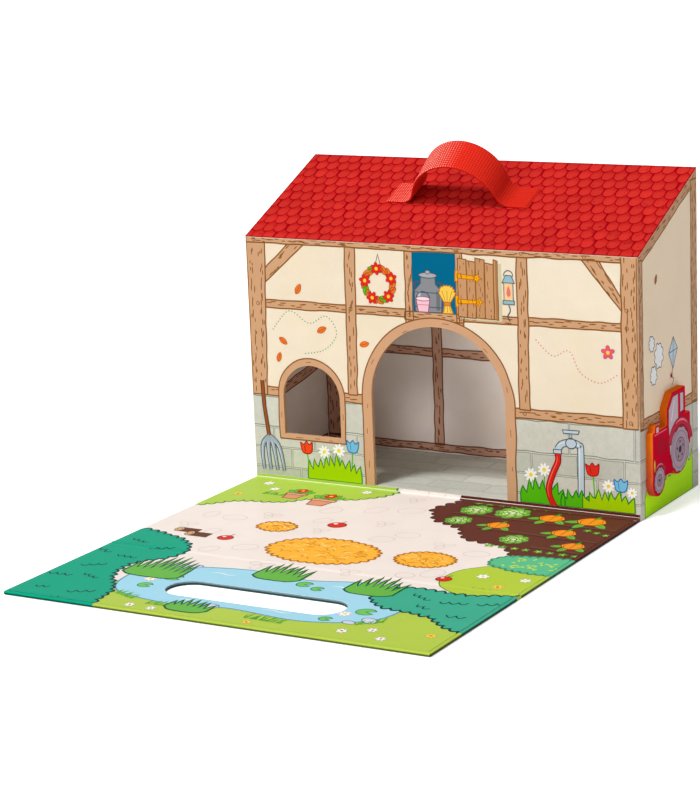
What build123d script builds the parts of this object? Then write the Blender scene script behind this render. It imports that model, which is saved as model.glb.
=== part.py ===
from build123d import *
import os
from math import atan, atan2, cos, degrees, sin, tan

# A play barn made of paper-covered greyboard, with a two-part play board that
# is hinged to its foot.  The board folds up over the front wall and the roof,
# and the carrying handle then passes through the slot in its outer half.
# Origin: centre of the barn's footprint on the ground.  +X right, +Y back, +Z up.

# ---------------------------------------------------------------- sizes (mm)
# Barn
house_width = 300.0
house_depth = 102.0
eave_height = 177.5
ridge_height = 222.5

# Sheet goods
greyboard = 2.3
paper = 0.2
hinge_paper = 0.3
fold_radius = 0.8            # paper folded round the edge of a board

# Doorway: straight sides and a half-round top, sill level with the floor
doorway_width = 103.7
doorway_top = 121.7
doorway_centre = 0.0

# Window: straight sides and a half-round top
window_width = 46.3
window_sill = 36.3
window_top = 87.3
window_centre = -100.75

# Handle: one length of webbing, measured across and up the roof
strap_width = 25.0
strap_thickness = 1.5
strap_span = 109.0           # from slit to slit
strap_foot = 12.5            # flat run between a slit and the arch
strap_rise_front = 30.2      # height of the arch at its front edge
strap_rise_back = 33.8       # height of the arch at its back edge
strap_flare_radius = 10.0    # where a foot turns up into the arch
strap_bend_radius = 1.5      # where the webbing turns through the roof
strap_tail = 20.0            # end glued under the roof
strap_offset = -6.0          # from the middle of the roof, to the left
strap_from_eave = 63.3       # middle of the webbing, up the slope
strap_clearance = 0.1
anchor_web = 1.5             # pad left under the tail
anchor_margin = 5.0          # pad left round the tail

# Play board
board_reach = 298.0          # from the front wall to the far edge
hinge_gap = 7.0              # paper between two stiff edges
hinge_tip_gap = 0.35         # between a hinge strip's tip and its fold line
corner_radius = 1.2
sheet_inset = 2.5            # from a free edge of the board to the printed sheet
slot_length = 125.3
slot_width = 30.0
slot_offset = 3.4            # from the middle of the board, to the right
wall_clearance = 0.4         # closed board to front wall
strap_foot_clearance = 0.3   # closed board to the webbing on the roof

# Tractor plaque, measured back from the front wall's face and up from the ground
plaque_thickness = 5.2
plaque_edge_radius = 1.2
plaque_corner_radius = 1.4
rear_wheel_radius = 17.0
rear_wheel_y = 55.8
rear_wheel_z = 37.0
front_wheel_radius = 11.0
front_wheel_y = 20.0
front_wheel_z = 24.0
bonnet_front_y = 9.6
bonnet_top_z = 58.2
belly_z = 24.0
cab_front_y = 33.8
cab_back_y = 66.5
cab_shoulder_z = 70.0
cab_top_z = 79.2
cab_taper = 9.0
cap_y = 17.0
cap_width = 7.0
cap_top_z = 62.4
mudguard_back_y = 75.0
mudguard_top_z = 59.8

# ------------------------------------------------------------ derived sizes
half_width = house_width / 2
front_y = -house_depth / 2
back_y = house_depth / 2
pitch = atan2(ridge_height - eave_height, house_depth)
wall = paper + greyboard                 # outer paper and board
lined_wall = wall + paper                # with the inner lining
floor_top = 2 * greyboard + paper

panel_thickness = greyboard + paper
roof_clearance = strap_thickness + strap_foot_clearance
rear_fold_y = front_y - panel_thickness - wall_clearance
# With the inner panel upright, the front fold line is level with its own
# height up the panel, and stands off the roof by a panel and its clearance.
fold_over_eave = (
    panel_thickness + roof_clearance - (panel_thickness + wall_clearance) * sin(pitch)
) / cos(pitch)
front_fold_y = rear_fold_y - eave_height - fold_over_eave
inner_rear_y = front_y - hinge_gap
inner_front_y = front_fold_y + hinge_gap / 2
outer_rear_y = front_fold_y - hinge_gap / 2
outer_front_y = front_y - board_reach
# How far the front fold line lies below the eave when closed, along the roof
fold_before_eave = (front_y - rear_fold_y) * cos(pitch) - fold_over_eave * sin(pitch)
slot_y = front_fold_y - fold_before_eave - strap_from_eave

roof_plane = Plane(
    origin=(0, front_y, eave_height),
    x_dir=(1, 0, 0),
    z_dir=(0, -sin(pitch), cos(pitch)),
)


# ---------------------------------------------------------------- helpers
def block(x_range, y_range, z_range):
    """A box between two corners, given as (low, high) along each axis."""
    spans = (x_range, y_range, z_range)
    middle = [(low + high) / 2 for low, high in spans]
    size = [high - low for low, high in spans]
    return Pos(*middle) * Box(*size)


def house_block(inset):
    """The barn's plan, moved in by inset, rounded at its corners, tall enough for the roof."""
    plan = RectangleRounded(
        house_width - 2 * inset, house_depth - 2 * inset, fold_radius - inset
    )
    return extrude(plan, ridge_height)


def under_roof(depth):
    """All that lies under the roof's top face by depth or more, square to it."""
    drop = depth / cos(pitch)
    margin = house_depth
    low_z = eave_height - margin * tan(pitch) - drop
    high_z = ridge_height + margin * tan(pitch) - drop
    profile = Polyline(
        (front_y - margin, -margin),
        (back_y + margin, -margin),
        (back_y + margin, high_z),
        (front_y - margin, low_z),
        close=True,
    )
    side = Plane.YZ * make_face(profile)
    return extrude(side, house_width, both=True)


def roof_layer(plan, top_depth, thickness):
    """A sheet parallel to the roof, cut to the plan."""
    return plan & under_roof(top_depth) - under_roof(top_depth + thickness)


def arched_hole(centre, width, low_z, high_z, grow):
    """A cutter through the front wall: straight sides, half-round top."""
    radius = width / 2 + grow
    spring_z = high_z - width / 2
    foot_z = low_z - grow
    sides = Pos(centre, (foot_z + spring_z) / 2) * Rectangle(2 * radius, spring_z - foot_z)
    arch = Pos(centre, spring_z) * Circle(radius)
    outline = Plane.XZ.offset(-front_y) * (sides + arch)
    return extrude(outline, 2 * lined_wall, both=True)


def front_holes(grow):
    """Doorway and window cutters, widened all round by grow."""
    doorway = arched_hole(doorway_centre, doorway_width, floor_top, doorway_top, grow)
    window = arched_hole(window_centre, window_width, window_sill, window_top, grow)
    return doorway + window


inner_x = (wall - half_width, half_width - wall)
inner_y = (front_y + wall, back_y - wall)
all_z = (0, ridge_height)


# ---------------------------------------------------------------- barn
def floor_layer(low_z):
    return block(inner_x, inner_y, (low_z, low_z + greyboard))


def floor_lining():
    """It stops at the paper turned in over the doorway's sill."""
    return block(inner_x, (inner_y[0] + paper, inner_y[1]), (floor_top - paper, floor_top))


def front_wall():
    slab = block((-half_width, half_width), (front_y + paper, front_y + wall), all_z)
    return house_block(paper) & slab & under_roof(wall) - front_holes(paper)


def back_wall():
    slab = block((-half_width, half_width), (back_y - wall, back_y - paper), all_z)
    return house_block(paper) & slab & under_roof(wall)


def side_wall(side):
    """side is -1 for the left wall and 1 for the right one."""
    x_range = sorted((side * (half_width - wall), side * (half_width - paper)))
    return block(x_range, inner_y, all_z) & under_roof(wall)


def roof_slits():
    """Two slits across the roof for the webbing, in the row of the handle."""
    slit_width = 2 * (strap_bend_radius + strap_clearance)
    slit_length = strap_width + 2 * strap_clearance
    cutter = Box(slit_width, slit_length, 4 * lined_wall)
    for side in (-1, 1):
        slit_x = strap_offset + side * strap_span / 2
        yield roof_plane * (Pos(slit_x, strap_from_eave) * cutter)


def slotted_roof_layer(plan, top_depth, thickness):
    layer = roof_layer(plan, top_depth, thickness)
    for slit in roof_slits():
        layer -= slit
    return layer


def wall_wrap():
    """The outer paper: round the four walls and the roof's edges, and turned in at the holes."""
    skin = house_block(0) - house_block(paper)
    turned_in = block(
        (-half_width + lined_wall, half_width - lined_wall),
        (front_y, front_y + lined_wall),
        (0, eave_height),
    )
    reveals = turned_in & front_holes(paper)
    return (skin + reveals - front_holes(0)) & under_roof(paper)


def wall_lining(x_range, y_range):
    return block(x_range, y_range, (floor_top, ridge_height)) & under_roof(lined_wall)


def front_lining():
    sheet = wall_lining(inner_x, (inner_y[0], inner_y[0] + paper))
    return sheet - front_holes(paper)


def back_lining():
    return wall_lining(inner_x, (inner_y[1] - paper, inner_y[1]))


def side_lining(side):
    x_range = sorted((side * (half_width - lined_wall), side * (half_width - wall)))
    return wall_lining(x_range, (inner_y[0] + paper, inner_y[1] - paper))


def roof_lining():
    plan = block(inner_x, inner_y, all_z)
    return slotted_roof_layer(plan, wall, paper)


# ---------------------------------------------------------------- handle
foot_level = strap_thickness / 2
tail_level = -lined_wall - strap_thickness / 2


def strap_line(rise, shift):
    """One face of the webbing, seen from the front edge, shift to the left of its middle line."""
    half_arch = strap_span / 2 - strap_foot
    flare_angle = 2 * degrees(atan(rise / half_arch))
    crown_radius = (half_arch**2 + rise**2) / (2 * rise) - strap_flare_radius
    drop = foot_level - tail_level - 2 * strap_bend_radius
    foot_run = strap_foot - strap_bend_radius
    start_x = -strap_span / 2 - strap_bend_radius - strap_tail
    edges = []

    def at():
        return edges[-1] @ 1

    def heading():
        return edges[-1] % 1

    def run(length):
        edges.append(Line(at(), at() + heading() * length))

    def turn(radius, angle):
        """A positive angle turns to the left."""
        true_radius = radius - shift if angle > 0 else radius + shift
        edges.append(JernArc(at(), heading(), true_radius, angle))

    edges.append(
        Line((start_x, tail_level + shift), (start_x + strap_tail, tail_level + shift))
    )
    turn(strap_bend_radius, 90)
    run(drop)
    turn(strap_bend_radius, -90)
    run(foot_run)
    turn(strap_flare_radius, flare_angle)
    turn(crown_radius, -2 * flare_angle)
    turn(strap_flare_radius, flare_angle)
    run(foot_run)
    turn(strap_bend_radius, -90)
    run(drop)
    turn(strap_bend_radius, 90)
    run(strap_tail)
    return edges


def strap_section(rise, from_eave):
    """The webbing's outline on a plane square to the roof, from_eave up the slope."""
    upper = strap_line(rise, strap_thickness / 2)
    lower = strap_line(rise, -strap_thickness / 2)
    ends = [
        Line(upper[0] @ 0, lower[0] @ 0),
        Line(upper[-1] @ 1, lower[-1] @ 1),
    ]
    outline = make_face(upper + lower + ends)
    upright = Plane.XZ * outline
    return roof_plane * (Pos(strap_offset, from_eave, 0) * upright)


def handle_strap():
    front = strap_section(strap_rise_front, strap_from_eave - strap_width / 2)
    back = strap_section(strap_rise_back, strap_from_eave + strap_width / 2)
    return loft([front, back], ruled=True)


def handle_anchor(side):
    """A pad under the roof, with a pocket that holds one tail of the webbing."""
    slit_x = strap_span / 2
    pocket_x = (
        slit_x - strap_bend_radius - strap_clearance,
        slit_x + strap_bend_radius + strap_tail + strap_clearance,
    )
    half_pocket = strap_width / 2 + strap_clearance
    pocket_low = -lined_wall - strap_thickness - strap_clearance
    half_pad = half_pocket + anchor_margin
    pad = block(
        (pocket_x[0] - anchor_margin, pocket_x[1] + anchor_margin),
        (-half_pad, half_pad),
        (pocket_low - anchor_web, -lined_wall),
    )
    pocket = block(pocket_x, (-half_pocket, half_pocket), (pocket_low, 0))
    anchor = pad - pocket
    if side < 0:
        anchor = mirror(anchor, Plane.YZ)
    return roof_plane * (Pos(strap_offset, strap_from_eave) * anchor)


# ---------------------------------------------------------------- tractor
def tractor_outline():
    """The tractor seen from the right: nose towards the doorway side."""
    bonnet_low = front_wheel_z
    bonnet = Pos(
        (bonnet_front_y + cab_back_y) / 2, (bonnet_low + bonnet_top_z) / 2
    ) * Rectangle(cab_back_y - bonnet_front_y, bonnet_top_z - bonnet_low)
    chassis = Pos(
        (front_wheel_y + rear_wheel_y) / 2, (belly_z + bonnet_top_z) / 2
    ) * Rectangle(rear_wheel_y - front_wheel_y, bonnet_top_z - belly_z)
    cab = make_face(
        Polyline(
            (cab_front_y, belly_z),
            (cab_back_y, belly_z),
            (cab_back_y, cab_top_z),
            (cab_front_y + cab_taper, cab_top_z),
            (cab_front_y, cab_shoulder_z),
            close=True,
        )
    )
    mudguard = Pos(
        (rear_wheel_y + mudguard_back_y) / 2, (rear_wheel_z + mudguard_top_z) / 2
    ) * Rectangle(mudguard_back_y - rear_wheel_y, mudguard_top_z - rear_wheel_z)
    rear_wheel = Pos(rear_wheel_y, rear_wheel_z) * Circle(rear_wheel_radius)
    front_wheel = Pos(front_wheel_y, front_wheel_z) * Circle(front_wheel_radius)
    radiator_cap = Pos(cap_y, (bonnet_top_z + cap_top_z) / 2 - plaque_corner_radius) * Rectangle(
        cap_width, cap_top_z - bonnet_top_z + 2 * plaque_corner_radius
    )
    outline = bonnet + chassis + cab + mudguard + rear_wheel + front_wheel + radiator_cap
    # Closing, then opening, rounds the notches and the corners alike.
    filled = offset(offset(outline, plaque_corner_radius), -2 * plaque_corner_radius)
    return offset(filled, plaque_corner_radius)


def tractor_plaque():
    wall_face = Plane(origin=(half_width, front_y, 0), x_dir=(0, 1, 0), z_dir=(1, 0, 0))
    body = extrude(wall_face * tractor_outline(), plaque_thickness)
    outer_face = body.faces().sort_by(Axis.X)[-1]
    return fillet(outer_face.edges(), plaque_edge_radius)


# ---------------------------------------------------------------- play board
def hinge_strip(y_a, y_b):
    """Half of a hinge paper, from a stiff edge to its fold line."""
    half_strip = half_width - sheet_inset
    return block((-half_strip, half_strip), sorted((y_a, y_b)), (0, hinge_paper))


def wall_hinge_strip():
    half_strip = half_width - sheet_inset
    lip = block((-half_strip, half_strip), (front_y - paper, front_y), (0, floor_top))
    return hinge_strip(front_y, rear_fold_y + hinge_tip_gap) + lip


def inner_panel_board():
    board = block((-half_width, half_width), (inner_front_y, inner_rear_y), (0, greyboard))
    free_edges = board.edges().filter_by(Axis.Y)
    return fillet(free_edges, fold_radius)


def hand_slot():
    slot = SlotOverall(slot_length, slot_width)
    return extrude(Pos(slot_offset, slot_y) * slot, 2 * panel_thickness, both=True)


def outer_panel_board():
    board = block((-half_width, half_width), (outer_front_y, outer_rear_y), (0, greyboard))
    corners = board.edges().filter_by(Axis.Z).group_by(Axis.Y)[0]
    board = fillet(corners, corner_radius)
    rear_faces = board.faces().sort_by(Axis.Y)[-1:]
    rear_edges = rear_faces[0].edges()
    rim = [
        edge
        for face in board.faces().filter_by(Axis.Z)
        for edge in face.edges()
        if edge not in rear_edges
    ]
    return fillet(rim, fold_radius) - hand_slot()


def panel_sheet(y_low, y_high):
    half_sheet = half_width - sheet_inset
    return block((-half_sheet, half_sheet), (y_low, y_high), (greyboard, panel_thickness))


def outer_panel_sheet():
    return panel_sheet(outer_front_y + sheet_inset, outer_rear_y) - hand_slot()


# ---------------------------------------------------------------- nodes
nodes = {
    "base_board": floor_layer(0),
    "floor_board": floor_layer(greyboard),
    "floor_lining": floor_lining(),
    "front_wall": front_wall(),
    "back_wall": back_wall(),
    "left_wall": side_wall(-1),
    "right_wall": side_wall(1),
    "roof_board": slotted_roof_layer(house_block(paper), paper, greyboard),
    "wall_wrap": wall_wrap(),
    "roof_sheet": slotted_roof_layer(house_block(0), 0, paper),
    "front_lining": front_lining(),
    "back_lining": back_lining(),
    "left_lining": side_lining(-1),
    "right_lining": side_lining(1),
    "roof_lining": roof_lining(),
    "handle_strap": handle_strap(),
    "handle_anchor_left": handle_anchor(-1),
    "handle_anchor_right": handle_anchor(1),
    "tractor_plaque": tractor_plaque(),
    "wall_hinge_strip": wall_hinge_strip(),
    "inner_panel_board": inner_panel_board(),
    "inner_panel_sheet": panel_sheet(inner_front_y, inner_rear_y),
    "inner_hinge_strip_rear": hinge_strip(inner_rear_y, rear_fold_y - hinge_tip_gap),
    "inner_hinge_strip_front": hinge_strip(inner_front_y, front_fold_y + hinge_tip_gap),
    "outer_panel_board": outer_panel_board(),
    "outer_panel_sheet": outer_panel_sheet(),
    "outer_hinge_strip": hinge_strip(outer_rear_y, front_fold_y - hinge_tip_gap),
}

os.makedirs("parts", exist_ok=True)
for name, solid in nodes.items():
    export_step(solid, f"parts/{name}.step")

print(f"rear fold  y={rear_fold_y:.3f} z=0")
print(f"front fold y={front_fold_y:.3f} z=0")
print(f"roof pitch {degrees(pitch):.3f} deg, closed outer angle {90 - degrees(pitch):.3f} deg")
print(f"slot centre x={slot_offset:.3f} y={slot_y:.3f}")
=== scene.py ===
import math
import random

import bmesh
import bpy
from mathutils import Matrix, Vector, geometry, noise


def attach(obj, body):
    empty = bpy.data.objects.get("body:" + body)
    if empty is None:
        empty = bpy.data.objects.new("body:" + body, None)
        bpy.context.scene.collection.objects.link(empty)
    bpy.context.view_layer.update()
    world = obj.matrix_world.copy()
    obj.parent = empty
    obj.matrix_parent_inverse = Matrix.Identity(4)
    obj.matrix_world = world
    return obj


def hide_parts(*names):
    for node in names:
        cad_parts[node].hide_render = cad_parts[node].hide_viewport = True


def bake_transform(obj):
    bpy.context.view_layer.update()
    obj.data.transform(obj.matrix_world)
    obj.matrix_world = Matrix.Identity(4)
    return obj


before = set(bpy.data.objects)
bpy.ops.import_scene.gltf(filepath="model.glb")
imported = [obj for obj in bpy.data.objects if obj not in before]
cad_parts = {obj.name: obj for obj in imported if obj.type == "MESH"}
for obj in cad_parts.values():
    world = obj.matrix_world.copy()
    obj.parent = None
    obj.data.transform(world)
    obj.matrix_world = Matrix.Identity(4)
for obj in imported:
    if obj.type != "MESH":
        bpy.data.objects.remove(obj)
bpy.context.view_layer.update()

# A paper-covered play barn with a two-part play board.  All sizes are in
# millimetres until a mesh is placed.  +X right, +Y back, +Z up, origin in the
# middle of the barn's footprint on the ground.

MM = 0.001
HALF_WIDTH = 150.0
FRONT_Y = -51.0
BACK_Y = 51.0
EAVE = 177.5
RIDGE = 222.5
PITCH = math.atan2(RIDGE - EAVE, BACK_Y - FRONT_Y)
SLOPE = math.hypot(RIDGE - EAVE, BACK_Y - FRONT_Y)
LINED_WALL = 2.7

DOOR_HALF = 51.85
DOOR_TOP = 121.7
WINDOW_X = -100.75
WINDOW_HALF = 23.15
WINDOW_SILL = 36.3
WINDOW_TOP = 87.3

BOARD_TOP = 2.5
FRONT_FOLD_Y = -234.82
INNER_REAR_Y = -58.0
INNER_FRONT_Y = -231.32
OUTER_REAR_Y = -238.32
OUTER_FRONT_Y = -349.0
SHEET_INSET = 2.5
SHEET_HALF = HALF_WIDTH - SHEET_INSET
FOLD_HALF = HALF_WIDTH - 0.5
SHEET_FRONT_Y = OUTER_FRONT_Y + SHEET_INSET
SLOT_X = 3.4
SLOT_Y = -299.393
SLOT_LENGTH = 125.3
SLOT_WIDTH = 30.0

PLAQUE_FACE_X = 155.2

# How far a printed shape lies off its paper, and the step between two levels.
PRINT_LIFT = 0.02
PRINT_STEP = 0.013
# Where the prints on the walls end: half lengths, and the foot of the front's.
WALL_PRINT_HALF = 149.2
SIDE_PRINT_HALF = 50.1
FRONT_PRINT_FOOT = 4.9


# ------------ colours
def ink(red, green, blue):
    """A print colour from the usual 0 to 255 values."""
    channels = [value / 255 for value in (red, green, blue)]
    linear = [
        c / 12.92 if c <= 0.04045 else ((c + 0.055) / 1.055) ** 2.4 for c in channels
    ]
    return (*linear, 1.0)


def between(first, second, share):
    return tuple(a + (b - a) * share for a, b in zip(first, second))


PLASTER = ink(243, 228, 205)
PLASTER_WARM = ink(241, 223, 195)
# The side walls' plaster is a lighter, warmer copy of the front's: painted light that lifts their
# shade.
SIDE_PLASTER_PAINTED_LIGHT = ink(255, 232, 202)
TIMBER = ink(210, 162, 122)
TIMBER_DARK = ink(196, 142, 96)
TIMBER_LINE = ink(140, 88, 42)
TRIM = ink(213, 164, 126)
STONE = ink(213, 211, 199)
STONE_SHADE = ink(192, 192, 180)
JOINT = ink(126, 134, 124)
TILE_RED = ink(204, 48, 40)
TILE_DEEP = ink(188, 26, 28)
TILE_LINE = ink(164, 6, 20)
# The inside's plaster and timber are lightened beyond the outside's: painted light that lifts the
# dark inside.
INSIDE_PLASTER_PAINTED_LIGHT = ink(255, 243, 237)
INSIDE_TIMBER_PAINTED_LIGHT = ink(212, 162, 138)
INSIDE_LINE = ink(120, 74, 54)
LOFT_BLUE = ink(0, 104, 142)
SHUTTER = ink(204, 152, 108)
BRASS = ink(250, 172, 20)
BRASS_LINE = ink(186, 108, 10)
YARD = ink(246, 234, 226)
YARD_LINE = ink(226, 208, 200)
MEADOW = ink(178, 208, 80)
MEADOW_DARK = ink(88, 140, 40)
LAWN = ink(180, 204, 78)
LAWN_DARK = ink(140, 172, 34)
HEDGE = ink(4, 162, 128)
HEDGE_PALE = ink(62, 172, 142)
HEDGE_DARK = ink(8, 62, 62)
BUSH = ink(92, 190, 140)
POND = ink(164, 217, 236)
POND_LINE = ink(96, 152, 178)
SOIL = ink(98, 50, 40)
SOIL_DARK = ink(58, 30, 26)
STRAW = ink(252, 184, 62)
STRAW_LINE = ink(184, 110, 26)
LEAF_LINE = ink(40, 104, 44)
RED = ink(226, 44, 36)
WHITE = ink(250, 250, 246)
YELLOW = ink(252, 212, 52)
SKY = ink(120, 190, 226)
SLATE = ink(122, 136, 150)
SLATE_LINE = ink(74, 84, 98)
GRASS = ink(170, 212, 6)
GRASS_DEEP = ink(88, 190, 18)
GRASS_LINE = ink(36, 138, 40)
OUTLINE = ink(70, 60, 52)
PURE_WHITE = (1, 1, 1, 1)


# ------------ node handling
def operation(name, turned=False):
    """A Python operator that adds the Math node of that name."""
    def run(feed, other):
        pair = (other, feed) if turned else (feed, other)
        return feed.tree.maths(name, *pair)
    return run


class Feed:
    """An output socket that arithmetic works on; & joins two masks."""

    __add__ = operation("ADD")
    __sub__ = operation("SUBTRACT")
    __rsub__ = operation("SUBTRACT", turned=True)
    __mul__ = __and__ = operation("MULTIPLY")
    __truediv__ = operation("DIVIDE")
    __rtruediv__ = operation("DIVIDE", turned=True)
    __mod__ = operation("MODULO")
    __gt__ = operation("GREATER_THAN")
    __lt__ = operation("GREATER_THAN", turned=True)

    def __init__(self, tree, socket):
        self.tree = tree
        self.socket = socket

    def out(self, key):
        """Another output of the same node."""
        return Feed(self.tree, self.socket.node.outputs[key])


class Tree:
    """Adds nodes to a node tree.  A feed is a Feed, a plain value, or None to skip."""

    def __init__(self, tree):
        self.tree = tree

    def join(self, feed, socket):
        if isinstance(feed, Feed):
            self.tree.links.new(feed.socket, socket)
        elif feed is not None:
            socket.default_value = feed

    def add(self, kind, *feeds, out=0, **keys):
        """A new node's output.  Capitalised keys are inputs, the others settings."""
        node = self.tree.nodes.new(kind)
        for key, value in keys.items():
            if key[0].islower():
                setattr(node, key, value)
        for socket, feed in zip(node.inputs, feeds):
            self.join(feed, socket)
        for key, feed in keys.items():
            if key[0].isupper():
                self.join(feed, node.inputs[key.replace("_", " ")])
        return Feed(self, node.outputs[out])

    def maths(self, name, *feeds):
        return self.add("ShaderNodeMath", *feeds, operation=name)

    def vectors(self, name, *feeds, **keys):
        return self.add("ShaderNodeVectorMath", *feeds, operation=name, **keys)

    def scaled(self, vector, factor):
        return self.vectors("SCALE", vector, Scale=factor)

    def bundle(self, *parts):
        return self.add("ShaderNodeCombineXYZ", *parts)

    def split(self, vector):
        parts = self.add("ShaderNodeSeparateXYZ", vector)
        return [parts.out(axis) for axis in range(3)]

    def mix(self, share, first, second, way="MIX"):
        """Two colours mixed; they are a Mix node's inputs 6 and 7, and its output 2."""
        feeds = [share, *[None] * 5, first, second]
        return self.add("ShaderNodeMix", *feeds, out=2, data_type="RGBA", blend_type=way)

    def noise(self, vector, scale, detail=2.0, roughness=0.5):
        return self.add(
            "ShaderNodeTexNoise", Vector=vector, Scale=scale, Detail=detail, Roughness=roughness
        )

    def remap(self, value, low, high, to_low=0.0, to_high=1.0):
        return self.add("ShaderNodeMapRange", value, low, high, to_low, to_high)

    def use(self, group, **feeds):
        return self.add("ShaderNodeGroup", node_tree=group, **feeds)

    def give(self, **feeds):
        """Ends a group by feeding its outputs."""
        way_out = self.tree.nodes.new("NodeGroupOutput")
        for title, feed in feeds.items():
            self.join(feed, way_out.inputs[title])
        return self.tree


def start_group(name, inputs, outputs, kind="ShaderNodeTree", maker=Tree):
    """A node group with inputs given as (title, type, value), and (title, type) outputs."""
    group = bpy.data.node_groups.new(name, kind)
    for title, socket_type, *value in inputs:
        socket = group.interface.new_socket(
            title, in_out="INPUT", socket_type="NodeSocket" + socket_type
        )
        if value:
            socket.default_value = value[0]
    for title, socket_type in outputs:
        group.interface.new_socket(title, in_out="OUTPUT", socket_type="NodeSocket" + socket_type)
    tree = maker(group)
    entry = group.nodes.new("NodeGroupInput")
    return tree, {socket.name: Feed(tree, socket) for socket in entry.outputs}


# ------------ shared effects
SURFACE = [("Colour", "Color"), ("Roughness", "Float"), ("Height", "Float")]


def make_printed_paper():
    """Ink on coated paper: soft patches, fine dots of tone, and the paper's tooth."""
    tree, given = start_group(
        "printed_paper",
        [
            ("Vector", "Vector"), ("Colour", "Color", PURE_WHITE), ("Patches", "Float", 0.05),
            ("Fine Tone", "Float", 0.03), ("Gloss", "Float", 0.4),
        ],
        SURFACE,
    )
    broad = tree.noise(given["Vector"], 34.0, 3.0, 0.55) * 2.0 - 1.0
    fine = tree.noise(given["Vector"], 950.0)
    tone = (fine * 2.0 - 1.0) * given["Fine Tone"] + broad * given["Patches"] + 1.0
    colour = tree.scaled(given["Colour"], tone)
    return tree.give(Colour=colour, Roughness=broad * 0.05 + given["Gloss"], Height=fine)


def make_edge_rub():
    """How far the paper is rubbed pale, from a mask of the edges."""
    tree, given = start_group(
        "edge_rub",
        [("Vector", "Vector"), ("Edge", "Float", 0.0), ("Amount", "Float", 0.5)],
        [("Mask", "Float")],
    )
    patchy = tree.remap(tree.noise(given["Vector"], 160.0, 4.0, 0.65), 0.45, 0.7)
    return tree.give(Mask=patchy * given["Edge"] * given["Amount"])


def make_stonework():
    """Coursed stone, hand drawn: uneven joints and a watery tone in each stone."""
    tree, given = start_group(
        "stonework",
        [
            ("Vector", "Vector"), ("Course", "Float", 14.6), ("Length", "Float", 34.0),
            ("Joint Width", "Float", 1.0), ("Sway", "Float", 2.2), ("Stone", "Color", STONE),
            ("Shade", "Color", STONE_SHADE), ("Joint", "Color", JOINT),
        ],
        [("Colour", "Color")],
    )
    vector = given["Vector"]
    warp = tree.noise(vector, 0.055).out("Color")
    sway = tree.scaled(tree.vectors("SUBTRACT", warp, (0.5, 0.5, 0.5)), given["Sway"])
    stones = tree.add(
        "ShaderNodeTexBrick", offset=0.42, squash=1.4, squash_frequency=3,
        Vector=tree.vectors("ADD", vector, sway), Color1=given["Stone"], Color2=given["Shade"],
        Mortar=given["Stone"], Scale=1.0, Mortar_Size=given["Joint Width"], Mortar_Smooth=1.0,
        Brick_Width=given["Length"], Row_Height=given["Course"],
    )
    joint = stones.out("Fac")
    pen = tree.remap(joint, 0.1, 0.22) & tree.remap(joint, 0.85, 0.62)
    drawn = tree.mix(pen, stones, given["Joint"])
    wash = tree.remap(tree.noise(vector, 0.22, 5.0, 0.7), 0.3, 0.7, 0.92, 1.06)
    dots = tree.remap(tree.noise(vector, 1.4, 2.0, 0.6), 0.56, 0.7, 1.0, 0.86)
    return tree.give(Colour=tree.scaled(drawn, wash * dots))


def make_webbing_weave():
    """Plain-woven webbing from a UV map in millimetres: yarns over and under, with painted
    highlights as pale glints on their crowns.
    """
    tree, given = start_group(
        "webbing_weave",
        [
            ("Vector", "Vector"), ("Yarn", "Float", 1.45), ("Colour", "Color", RED),
            ("Shade", "Color", RED), ("Fleck", "Color", WHITE), ("Flecks", "Float", 0.2),
        ],
        SURFACE,
    )
    yarns = tree.split(tree.scaled(given["Vector"], 1.0 / given["Yarn"]))[:2]
    bulges = []
    for run in yarns:
        centred = tree.maths("FRACT", run) * 2.0 - 1.0
        bulges.append(1.0 - tree.maths("POWER", centred, 2.0))
    cells = tree.maths("FLOOR", yarns[0]) + tree.maths("FLOOR", yarns[1])
    over = tree.maths("ABSOLUTE", cells % 2.0)
    across = bulges[0] * tree.maths("SQRT", bulges[1])
    along = bulges[1] * tree.maths("SQRT", bulges[0])
    height = over * across + (1.0 - over) * along
    tone = tree.mix(height, given["Shade"], given["Colour"])
    # Painted highlight: pale glints where the yarns rise highest.
    speck = tree.remap(tree.noise(given["Vector"], 0.5, 2.0, 0.7), 0.2, 0.5)
    glinted = speck * given["Flecks"] * tree.remap(height, 0.62, 0.9)
    colour = tree.mix(glinted, tone, given["Fleck"])
    return tree.give(Colour=colour, Roughness=height * -0.15 + 0.75, Height=height)


PRINTED_PAPER = make_printed_paper()
EDGE_RUB = make_edge_rub()
STONEWORK = make_stonework()
WEBBING_WEAVE = make_webbing_weave()


# ------------ materials
def start_material(name):
    """A new material, its tree, and its texture coordinates."""
    material = bpy.data.materials.new(name)
    material.use_nodes = True
    tree = Tree(material.node_tree)
    return material, tree, tree.add("ShaderNodeTexCoord")


def set_shader(tree, **feeds):
    """Feeds the Principled shader's inputs by name."""
    shader = tree.tree.nodes["Principled BSDF"]
    for title, feed in feeds.items():
        tree.join(feed, shader.inputs[title.replace("_", " ")])


def coat(tree, surface, shine, depth):
    """Dresses the shader in a shared effect; depth is its bumps' height in metres."""
    bump = tree.add("ShaderNodeBump", Distance=depth, Height=surface.out("Height"), out="Normal")
    set_shader(
        tree, Base_Color=surface, Roughness=surface.out("Roughness"), Specular_IOR_Level=shine,
        Normal=bump,
    )


def paper_material(
    name, colour_of, patches=0.04, fine=0.03, gloss=0.45, tooth=0.00001, shine=0.12
):
    """Coated paper whose colour is made by colour_of(tree, object coordinates)."""
    material, tree, place = start_material(name)
    vector = place.out("Object")
    surface = tree.use(
        PRINTED_PAPER, Vector=vector, Colour=colour_of(tree, vector), Patches=patches,
        Fine_Tone=fine, Gloss=gloss,
    )
    coat(tree, surface, shine, tooth)
    return material


def in_millimetres(tree, vector):
    """x, y and z in millimetres."""
    return tree.split(tree.scaled(vector, 1 / MM))


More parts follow.
